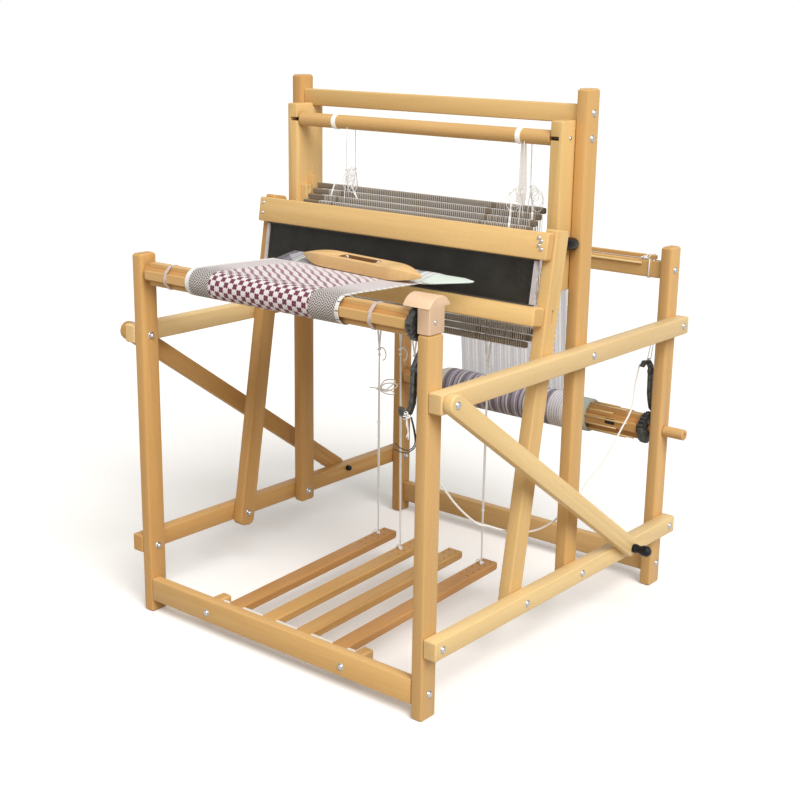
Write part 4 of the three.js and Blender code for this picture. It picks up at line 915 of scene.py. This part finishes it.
grey_paper = paper("grey-green paper", (0.50, 0.545, 0.50), 0.8)
white_paper = paper("white paper", (0.84, 0.83, 0.79), 0.88)
roll_inner = 29.46
right_turn = [(132.5, roll_inner), (132.5, 38), (150, 38.2), (192, 37.8), (194, 37.2), (194, roll_inner)]
under_turn = [(133, roll_inner + 3.4), (133, 39.6), (139, 39.4), (139.4, 38.4), (139.4, roll_inner + 3.4)]
left_turn = [(-244, roll_inner), (-244, 32.4), (-224.2, 40.4), (-208.6, 41.2), (-208.6, roll_inner)]
lathe("warp_paper_right", right_turn, warp_axis, grey_paper, "warp_beam", "warp_yarn", "warp_roll")
lathe("warp_paper_under", under_turn, warp_axis, white_paper, "warp_beam", "warp_yarn")
lathe("warp_paper_left", left_turn, warp_axis, white_paper, "warp_beam", "warp_yarn")
laths = []
for k in range(12):
    a = 2 * pi * k / 12 + 0.24
    r = 31.8 + 1.2 * (k % 2)
    c = at(0, warp_y + r * sin(a), warp_z + r * cos(a))
    laths.append([c + Vector((0.1935, 0, 0)), c + Vector((0.262 + 0.014 * (k * 7 % 5), 0, 0))])
fit(tube("warp_roll_sticks", laths, 0.0019, beech("beech, warp sticks", "X", cream), 5), "warp_beam", "beech")


# Warp threads
# Cotton yarn in stripes of lilac, grey, white and purple. The threads run off the roll, up over
# the back beam, each through its heddle and reed dent, over or under the sword to the fell.
striped, tree, shader = blank("striped warp yarn", 0.85, Sheen_Weight=0.2)
tone = add(tree, "ShaderNodeAttribute", {"attribute_name": "tone"}).outputs["Fac"]
ramp = add(tree, "ShaderNodeValToRGB", Fac=tone)
ramp.color_ramp.interpolation = "CONSTANT"
tones = ((0.0, (0.075, 0.05, 0.09)), (0.2, (0.33, 0.28, 0.39)), (0.4, (0.19, 0.16, 0.21)),
         (0.6, (0.52, 0.48, 0.56)), (0.8, (0.84, 0.83, 0.86)))
for k, (place, colour) in enumerate(tones):
    stop = ramp.color_ramp.elements[k] if k < 2 else ramp.color_ramp.elements.new(place)
    stop.position, stop.color = place, (*colour, 1)
fuzz = noise(tree, 700, 3)
feed(shader, Base_Color=mix(tree, calc(tree, "MULTIPLY", fuzz, 0.3), ramp.outputs[0], (0.8, 0.78, 0.82)))
relief(shader, 0.4, 0.0004, fuzz)
stripes = []
for shade, wide in ((0.5, 3), (0.1, 2), (0.3, 4), (0.9, 1), (0.3, 3), (0.1, 2), (0.7, 3), (0.5, 2), (0.9, 2)):
    stripes += [shade] * wide
right_border = 139


def toned(piece, counts_per_line, threads):
    """Store each thread's tone on its points."""
    tone = piece.data.attributes.new("tone", "FLOAT", "POINT")
    values = []
    for k, count in zip(threads, counts_per_line):
        values += [stripes[k % len(stripes)] if k < right_border else 0.7 + 0.2 * (k % 3 > 0)] * count
    tone.data.foreach_set("value", values)


fell_y, fell_z, rear_y, rear_z, castle_rear_y = 236, 752.34, 838, 738.7, 502.5
warp_left, narrowed = -207.8, 339.8 / 385.6


def warp_height(y):
    """The height of the straight warp between the fell and the back beam."""
    return fell_z + (rear_z - fell_z) * (y - fell_y) / (rear_y - fell_y)


def spread(x, y):
    """The warp narrows on the right between the shafts and the back beam."""
    t = min(max((y - castle_rear_y) / (rear_y - castle_rear_y), 0), 1)
    return x + ((warp_left + (x - warp_left) * narrowed) - x) * t


sword_y, sword_z, sword_slope, sword_gap = 267, 755.34, tan(0.17395), 3.2


def fore(k):
    """One thread from the fell over or under the sword to its heddle eye."""
    x = first_thread + thread_pitch * k
    side = sword_gap if k % 2 == 0 else -sword_gap
    over = lambda y: sword_z + (y - sword_y) * sword_slope + side
    if side > 0:
        rest = [(236.5, 752.6), (242, over(242)), (267, over(267)), (292, over(292) - 0.6)]
    else:
        rest = [(236.5, 752.0), (244, over(242) - 0.2), (262, over(242) - 0.4), (293, 749.6), (302, 747.8)]
    rest.append((shaft_y[k % 4], eye_z[k % 4]))
    return [at(x, y, z) for y, z in rest]


def aft(k):
    """One thread from its heddle eye to the back beam."""
    x = first_thread + thread_pitch * k
    y0, z0 = shaft_y[k % 4], eye_z[k % 4]
    line = [at(spread(x, y), y, z0 + (rear_z - z0) * (y - y0) / (rear_y - y0))
            for y in (y0, castle_rear_y, 620, 740, rear_y)]
    return line + [at(spread(x, 842), 842, warp_height(842))]


for pair, members, mid in (("front", (0, 1), 425), ("back", (2, 3), 455)):
    threads = [k for k in range(thread_count) if k % 4 in members]
    for part, lines in (("fore", [fore(k) for k in threads]), ("aft", [aft(k) for k in threads])):
        name = f"warp_threads_{pair}_{part}"
        piece = tube(name, lines, 0.0006, striped, 5)
        toned(piece, [5 * len(line) for line in lines], threads)
        if part == "fore":
            at(0, 303, 748)
            at(0, mid - 9, 748)
            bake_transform(piece)
        else:
            at(0, mid + 9, 748)
            at(0, 830, 740)
            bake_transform(piece)
rear_lines, roll_lines = [], []
for k in range(thread_count):
    x = spread(first_thread + thread_pitch * k, 900)
    turns = [pi / 2 * (1 - step / 6) for step in range(7)]
    over_stick = [(859 + cos(a) * 4.1, 735 + sin(a) * 4.1) for a in turns]
    rear_lines.append([at(x, y, z) for y, z in ((842, warp_height(842) + 0.15), *over_stick, (863.1, 704),
                                                (873, 590), (883, 474), (892.9, 366))])
    r = 41.2 + (0.15 if k % 2 else 0)
    roll_lines.append([at(x, warp_y + r * cos(a), warp_z + r * sin(a))
                       for a in (2 * pi * s / 30 for s in range(31))])
piece = tube("warp_threads_rear", rear_lines, 0.0006, striped, 5)
toned(piece, [5 * len(line) for line in rear_lines], range(thread_count))
fit(piece, "frame", "warp_yarn", "warp")
piece = tube("warp_roll_yarn", roll_lines, 0.00115, striped, 4)
toned(piece, [4 * len(line) for line in roll_lines], range(thread_count))
fit(piece, "warp_beam", "warp_yarn")
lathe("warp_roll_body", [(-208.4, roll_inner), (-208.4, 40.6), (132.3, 40.6), (132.3, roll_inner)], warp_axis,
      white_paper, "warp_beam", "warp_yarn")


# Cloth
# Handwoven cotton, about forty centimetres wide: white ground, grey twill borders, plum waves
# on the newest part and staggered plum blossoms on the part that is wound on the beam.
class Sum:
    """A number in a pattern, so that its sums can be written plainly."""

    def __init__(self, socket):
        self.socket = socket

    def do(self, operation, *others):
        others = [other.socket if isinstance(other, Sum) else other for other in others]
        return Sum(calc(self.socket.id_data, operation, self.socket, *others))

    def __add__(self, other):
        return self.do("ADD", other)

    def __sub__(self, other):
        return self.do("SUBTRACT", other)

    def __mul__(self, other):
        return self.do("MULTIPLY", other)

    def __truediv__(self, other):
        return self.do("DIVIDE", other)


def woven_group():
    """A woven pattern from a map of width and run in metres: colour and height."""
    group = bpy.data.node_groups.new("Woven pattern", "ShaderNodeTree")
    given = group_sockets(group, (("Map", "Vector"),), (("Color", "Color"), ("Height", "Float")))
    axes = add(group, "ShaderNodeSeparateXYZ", Vector=given["Map"]).outputs
    u0, v0 = Sum(axes[0]) * 1000, Sum(axes[1]) * 1000
    u, v = (u0 / 0.6).do("FLOOR") * 0.6, (v0 / 0.6).do("FLOOR") * 0.6
    soft = lambda value, low, high: Sum(span(group, value.socket, low, high))
    cover = lambda factor, a, b: mix(group, factor.socket, a, b)
    inside = soft(u, -152, -151) * soft(u, 108.5, 107.5)
    edge = soft(u, -204, -206).do("MAXIMUM", soft(u, 171, 173))
    tooth = ((u0 / 15).do("FRACT") - 0.5).do("ABSOLUTE")
    twill = (v0 / 5.2 + tooth * 2.6).do("FRACT")
    chevron = soft(twill, 0.42, 0.5) * soft(twill, 1, 0.92)
    repeat_u, repeat_v = 23.7, 20.6

    def blossom(shift_u, shift_v):
        """The distance to the nearest petal or heart of one lattice of blossoms."""
        across = (((u + (151 + shift_u)) / repeat_u).do("FRACT") - 0.5).do("ABSOLUTE") * repeat_u
        along = (((v + shift_v) / repeat_v).do("FRACT") - 0.5).do("ABSOLUTE") * repeat_v
        petal, heart = [((across - out_u).do("POWER", 2) + (along - out_v).do("POWER", 2)).do("SQRT") + less
                        for out_u, out_v, less in ((2.8, 2.55, 0), (0, 0, 1.2))]
        return petal.do("MINIMUM", heart)

    petals = soft(blossom(0, 0).do("MINIMUM", blossom(repeat_u / 2, repeat_v / 2)), 3.25, 2.9)
    y = v0 * -1 + 236
    wave = (y * (2 * pi / 46)).do("SINE") * 2.7
    line = ((u0 + 500 + (y * 1.28 + wave)) / repeat_u).do("FRACT")
    ribs = soft(line, 0, 0.10) * soft(line, 0.50, 0.38)
    strength = soft(v0, 10, 90) * 0.65 + 0.25
    rolled = soft(v0, 150, 225)
    grey = cover(rolled, (0.52, 0.46, 0.49), (0.10, 0.08, 0.075))
    light = cover(rolled, (0.80, 0.76, 0.79), (0.60, 0.56, 0.55))
    plain = cover((u0 * 2.4).do("SINE").do("ABSOLUTE") * 0.5, (0.86, 0.82, 0.85), (0.68, 0.62, 0.67))
    waves = cover(ribs * strength, plain, (0.24, 0.045, 0.11))
    blooms = cover(petals, plain, (0.14, 0.012, 0.042))
    body = cover(inside, cover(chevron, light, grey), cover(soft(v, 190, 193), waves, blooms))
    tick = soft(u, 172.6, 173.6) * soft((v0 / 17).do("FRACT"), 0.16, 0.11)
    rim = cover(tick * 0.9, (0.84, 0.85, 0.86), (0.05, 0.045, 0.05))
    cross = (u0 * (2 * pi / 1.8)).do("SINE") * (v0 * (2 * pi / 1.8)).do("SINE")
    add(group, "NodeGroupOutput", Color=cover(edge, body, rim), Height=cross.socket)
    return group


handwoven, tree, shader = blank("handwoven cotton", 0.9, Sheen_Weight=0.2)
cloth_map = add(tree, "ShaderNodeUVMap").outputs[0]
weave = add(tree, "ShaderNodeGroup", {"node_tree": woven_group()}, Map=cloth_map).outputs
feed(shader, Base_Color=weave["Color"])
relief(shader, 0.5, 0.0005, weave["Height"])


def web(name, path, x0, x1, thick, run0, wavy, columns=60):
    """Cloth along a path of (y, z) in millimetres, with its width and run in its map."""
    mesh = bmesh.new()
    uv = mesh.loops.layers.uv.new("UVMap")
    runs = [run0]
    for (ay, az), (by, bz) in zip(path, path[1:]):
        runs.append(runs[-1] + hypot(by - ay, bz - az))
    layers = []
    for s in (1, -1):
        rows = []
        for i, (y, z) in enumerate(path):
            ay, az = path[max(i - 1, 0)]
            by, bz = path[min(i + 1, len(path) - 1)]
            size = hypot(by - ay, bz - az)
            ny, nz = (bz - az) / size, -(by - ay) / size
            row = []
            for k in range(columns + 1):
                x = x0 + (x1 - x0) * k / columns
                h = s * thick / 2 + wavy(x, i)
                row.append(mesh.verts.new(at(x, y + ny * h, z + nz * h)))
            rows.append(row)
        layers.append(rows)
    top, under = layers

    def face(corners, spots):
        panel = mesh.faces.new(corners)
        for loop, (k, i) in zip(panel.loops, spots):
            loop[uv].uv = ((x0 + (x1 - x0) * k / columns) / 1000, runs[i] / 1000)

    last = len(path) - 1
    for i in range(last):
        for k in range(columns):
            spots = ((k, i), (k + 1, i), (k + 1, i + 1), (k, i + 1))
            face([top[r][c] for c, r in spots], spots)
            face([under[r][c] for c, r in spots[::-1]], spots[::-1])
        for k, (a, b) in ((0, (top, under)), (columns, (under, top))):
            face([a[i][k], a[i + 1][k], b[i + 1][k], b[i][k]], ((k, i), (k, i + 1), (k, i + 1), (k, i)))
    for k in range(columns):
        for i, (a, b) in ((0, (under, top)), (last, (top, under))):
            face([a[i][k], a[i][k + 1], b[i][k + 1], b[i][k]], ((k, i), (k + 1, i), (k + 1, i), (k, i)))
    bmesh.ops.recalc_face_normals(mesh, faces=mesh.faces)
    return made(name, mesh, handwoven, sharp=60)


cloth_left, cloth_right = -216, 180
edge_y, roll_y, roll_z = 235.7, 20, 760.54
flat_path = [(edge_y + (roll_y - edge_y) * t, fell_z + (roll_z - fell_z) * t - 0.7 * max(0, t * 6 - 5))
             for t in (step / 24 for step in range(25))]
flat_cloth = web("cloth_woven", flat_path, cloth_left, cloth_right, 1.3, 0.3,
                 lambda x, i: 0.18 * sin(x / 17.0 + i * 0.5) * sin(pi * i / 24))
fit(flat_cloth, "frame", "cloth", "cloth")
run_flat = hypot(edge_y - roll_y, roll_z - fell_z)
roll_path = []
for step in range(58):
    a = radians(step * 6.2)
    r = 26.9 - 1.2 * step / 57
    roll_path.append((cloth_y - r * sin(a), cloth_z + r * cos(a)))
roll_cloth = web("cloth_wound", roll_path, cloth_left, cloth_right, 1.1, 0.3 + run_flat, lambda x, i: 0.0)
fit(roll_cloth, "cloth_beam", "cloth", "cloth_roll")


# Sword and shuttle
# A pale painted sword with tapered ends holds the shed open. The boat shuttle lies on the cloth
# with a wound quill in its well.
mint, tree, shader = blank("pale mint paint", 0.45)
wear = noise(tree, 55, 6)
feed(shader, Base_Color=mix(tree, span(tree, wear, 0.60, 0.74), (0.66, 0.77, 0.735), (0.52, 0.60, 0.56)))
relief(shader, 0.15, 0.0004, wear)
planed("shed_sword", "shed_sword_painted", mint, "frame", "painted_stick", ease=0.0007)
shuttle_wood = beech("beech, shuttle", "X", ((0.78, 0.54, 0.27), (0.68, 0.42, 0.18)))
boat = planed("shuttle", "shuttle_beech", shuttle_wood, "shuttle", ease=0.0008, sharp=35)
middle = at(28, 229, 757)
turned = Matrix.Rotation(radians(-7), 3, "Z") @ Matrix.Rotation(radians(4), 3, "X")
# Faces inside the well are painted a dark red-brown: painted shade in the well.
well_shade = boat.data.attributes.new("well_shade", "FLOAT", "FACE")
for face in boat.data.polygons:
    place = turned.inverted() @ (face.center - middle) * 1000
    well_shade.data[face.index].value = float(abs(place.x) < 54.5 and abs(place.y) < 11.8 and place.z < 24)
tree = shuttle_wood.node_tree
shader = tree.nodes["Principled BSDF"]
well_shade_mask = add(tree, "ShaderNodeAttribute", {"attribute_name": "well_shade"}).outputs["Fac"]
inside = calc(tree, "MULTIPLY", well_shade_mask, 0.85)
feed(shader, Base_Color=mix(tree, inside, shader.inputs["Base Color"].links[0].from_socket,
                            (0.22, 0.10, 0.07), "MULTIPLY"))
for n, x in enumerate((-50, 41)):
    ring = lathe(f"shuttle_eyelet_{n + 1}", [(9.4, 1.6), (9.4, 4.0), (11.5, 4.3), (11.5, 1.6), (9.4, 1.6)],
                 Vector((0, 0, 0)), white_paper, "shuttle", "beech", axis="Y", sides=20)
    eye_place = Matrix.Translation((x / 1000, 0, 0.0192))
    ring.data.transform(Matrix.Translation(middle) @ turned.to_4x4() @ eye_place)
along = Vector((0.992546, -0.121869, 0))
quill_at = Vector((0.027898, -0.204881, 0.768971))
rust_yarn = cotton("rust red yarn", (0.34, 0.10, 0.055), plies=2.0, pitch=0.003)
side = along.cross(Vector((0, 0, 1))).normalized()
lift = side.cross(along)
quill_turns, quill_long = 44, 0.077
wound = []
for k in range(quill_turns * 10 + 1):
    t = k / (quill_turns * 10)
    a = 2 * pi * k / 10
    r = 0.0036 * min(1.0, 0.25 + 6 * t, 0.25 + 6 * (1 - t)) + 0.0006 + 0.0007 * sin(t * 37) * 0.3
    wound.append(quill_at + along * (quill_long * (t - 0.5)) + (side * cos(a) + lift * sin(a)) * r)
fit(tube("quill_yarn_wound", [wound], 0.0010, rust_yarn, 5), "quill", "quill_yarn", "quill")
spool = [quill_at + along * (d / 1000) for d in (-53, -40, -20, 0, 20, 40, 53)]
fit(tube("quill_paper", [spool], 0.0026, white_paper, 14), "quill", "quill_yarn")


# Back beam
# A beech beam between the rear posts carries the warp. A square stick lies on it and a thin
# round one before it, both tied with white string at the ends.
sticks("back_beam_board", [((-352.7, 838, 702), (352.7, 862, 738))], beech("beech, back beam", "X"), "frame",
       "beech", "back_beam", ease=0.003)
sticks("back_beam_stick", [((-330.7, 848, 740.3), (332.7, 857, 749))], beech("beech, tied stick", "X"),
       "frame", "beech")
thin_line = [at(-306, 835.2, 731.6), at(0, 835.2, 731.8), at(306, 835.2, 731.6)]
fit(tube("back_beam_thin_stick", [thin_line], 0.0024, beech("beech, thin stick", "X", cream), 10), "frame",
    "beech")
ties = []
round_beam = ((836.9, 742), (840, 744.6), (846, 750.4), (858, 750.4), (863.2, 738.6), (863.2, 700.8),
              (836.9, 700.8), (836.9, 742))
round_sticks = ((838, 744.8), (845, 750.6), (857.6, 750.6), (858.4, 740), (846, 738.9), (838, 739))
for n, x in enumerate((-312, 312)):
    for shift, corners in ((0, round_beam), (9, round_sticks)):
        ties.append([at(x + shift + 14 * k / len(corners), *corner) for k, corner in enumerate(corners)])
    ties.append([at(x - 12, 838.4, 740), at(x - 9, 838, 744), at(x - 6, 841, 744.6), at(x - 4, 843.9, 742),
                 at(x - 2, 838, 739.6), at(x + 2, 838, 744), at(x + 6, 843.8, 743)])
    ties.append(knot(at(x - 1, 840, 745.0), 0.003, 8 + n, 3))
fit(tube("back_beam_strings", ties, 0.0014, string, 6), "frame", "cotton")


# Pawl strings
# White string is tied round the front pawl's hook with black ends; two strings hold the rear
# pawl's hook to the upper rail.
hook = at(345, -13, 576)
lines = [knot(hook, 0.0062, 3, 4), knot(hook + Vector((0, -0.006, 0.006)), 0.0055, 9, 3)]
lines += [smooth([hook, at(343, -8, 560), at(341, -3, 545), at(340, -2, 531)], 4),
          smooth([hook, at(347, -16, 562), at(346, -10, 548), at(344, -12, 538)], 4)]
fit(tube("cloth_pawl_string", lines, 0.0011, string, 6), "cloth_pawl", "cotton")
dark_string = cotton("black string", (0.02, 0.02, 0.022))
lines = [smooth([at(345, -2, 573), at(346, 6, 545), at(346, 9, 522), at(345, -6, 514), at(344, -26, 522),
                 at(343, -40, 534)], 4),
         smooth([at(346, -1, 572), at(347, 9, 540), at(347, 10, 518), at(346, -14, 511), at(344, -44, 524)],
                4)]
fit(tube("cloth_pawl_black_string", lines, 0.0010, dark_string, 6), "cloth_pawl", "cotton")
blue_string = cotton("grey string", (0.42, 0.46, 0.50))
lines = [[at(336, 834, 521.9), at(336, 838, 535), at(337, 847, 566), at(338, 852, 584.5)],
         [at(339, 843, 521.4), at(339, 846, 535), at(339, 853, 566), at(339, 857, 584.5)]]
piece = tube("warp_pawl_strings", lines + [knot(at(337.5, 838, 522.6), 0.0025, 5, 2)], 0.0008, blue_string, 6)
at(338, 838, 524)
at(338, 855, 583)
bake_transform(piece)


# Treadles and their cords
# The treadles turn on one steel rod with white tubes between them. Doubled white strings run
# from the tie holes up to the lower sticks of the shafts, with a knot at each fork.
rod_y, rod_z = 41, 60
rod_axis = at(0, rod_y, rod_z)
lathe("treadle_rod_steel", [(-201, 0), (-201, 3.4), (-200.4, 4), (216.4, 4), (217, 3.4), (217, 0)], rod_axis,
      zinc, "frame", "steel", "treadle_rod", sides=20)
sleeve_white = mottled("white plastic tube", (0.72, 0.71, 0.68), (0.88, 0.88, 0.87), 160, 3, 0.4)
for n, (a, b) in enumerate(((-173.7, -157.3), (-118.7, -62.3), (-23.7, 32.7), (71.3, 127.7), (166.3, 189.7))):
    lathe(f"spacer_tube_{n + 1}", [(a, 4.2), (a, 7), (a + 0.5, 7.5), (b - 0.5, 7.5), (b, 7), (b, 4.2),
                                   (a, 4.2)],
          rod_axis, sleeve_white, "frame", "steel", sides=24)
slope, treadle_half, string_up, fork_z = radians(2.8), 9, 5.3, 548
tie_along, tie_head, treadle_x = (450, 414, 405, 460), (-86, -52, 5, 184), (-138, -43, 52, 147)
tie_pairs = ((0, 1), (2, 3), (0, 2), (1, 3))
tie_bodies = ("front_hang", "back_hang", "cross_tie_3", "cross_tie_4")
for n in range(4):
    reach = tie_along[n]
    foot = at(treadle_x[n], rod_y + reach * cos(slope) - treadle_half * sin(slope),
              rod_z + reach * sin(slope) + treadle_half * cos(slope) + string_up)
    first, second = tie_pairs[n]
    fork = at(tie_head[n], (shaft_y[first] + shaft_y[second]) / 2, fork_z)
    lines = double(foot, fork, 0.006, 40 + n, 14)
    lines += [knot(foot, 0.0042, 50 + n), knot(fork, 0.0036, 60 + n),
              knot(fork - Vector((0, 0, 0.012)), 0.003, 64 + n, 2)]
    lines += [curl(foot, 0.012, 70 + 2 * n, 0.5, 0.2), curl(fork, 0.016, 81 + 2 * n, 0.8, 0.9)]
    for k in (first, second):
        end = at(tie_head[n], shaft_y[k], bar_foot[k] - 7.2)
        split = double(fork, end, 0.003, 90 + n + k, 6)
        if n > 1:
            split = [[line[0] + (foot - fork).normalized() * 0.032] + line for line in split]
        split = tube(f"tie_fork_{n + 1}_{k + 1}", split, 0.0013, string, 6)
        if n > 1:
            fit(split, f"shaft_{k + 1}", "cotton")
        else:
            bend(split, tie_bodies[n], f"shaft_{k + 1}", fork, end)
    if n in (0, 3):
        lines.append(knot(foot + (fork - foot) * (0.28 if n else 0.62), 0.0034, 20 + n, 2))
    fit(tube(f"tie_strings_{n + 1}", lines, 0.0013, string, 6), tie_bodies[n], "cotton", f"tie_cord_{n + 1}")
twine = cotton("pale twine", (0.86, 0.84, 0.77))
foot_z, tied_z = 95.9, 455
foot, fork = at(-138, 490.1, foot_z), at(-86, 425, fork_z)
tied = foot + (fork - foot) * ((tied_z - foot_z) / (fork_z - foot_z))
bow = [knot(tied, 0.0052, 12, 4)]
bow.append(smooth([tied + Vector(p) / 1000 for p in ((0, 0, 0), (-10, -3, 1), (-24, -4, 0))], 4))
for dz, reach in ((30, 46), (22, 52), (4, 44)):
    bow.append(smooth([tied + Vector(p) / 1000 for p in ((0, 0, 0), (reach * 0.4, -4, dz * 0.75),
                                                         (reach, -7, dz),
                       (reach * 1.05, -8, dz - 7), (reach * 0.5, -6, dz * 0.3 - 6), (0, 0, -2))], 4))
fit(tube("tie_string_bow", bow, 0.0014, twine, 6), "front_hang", "cotton")
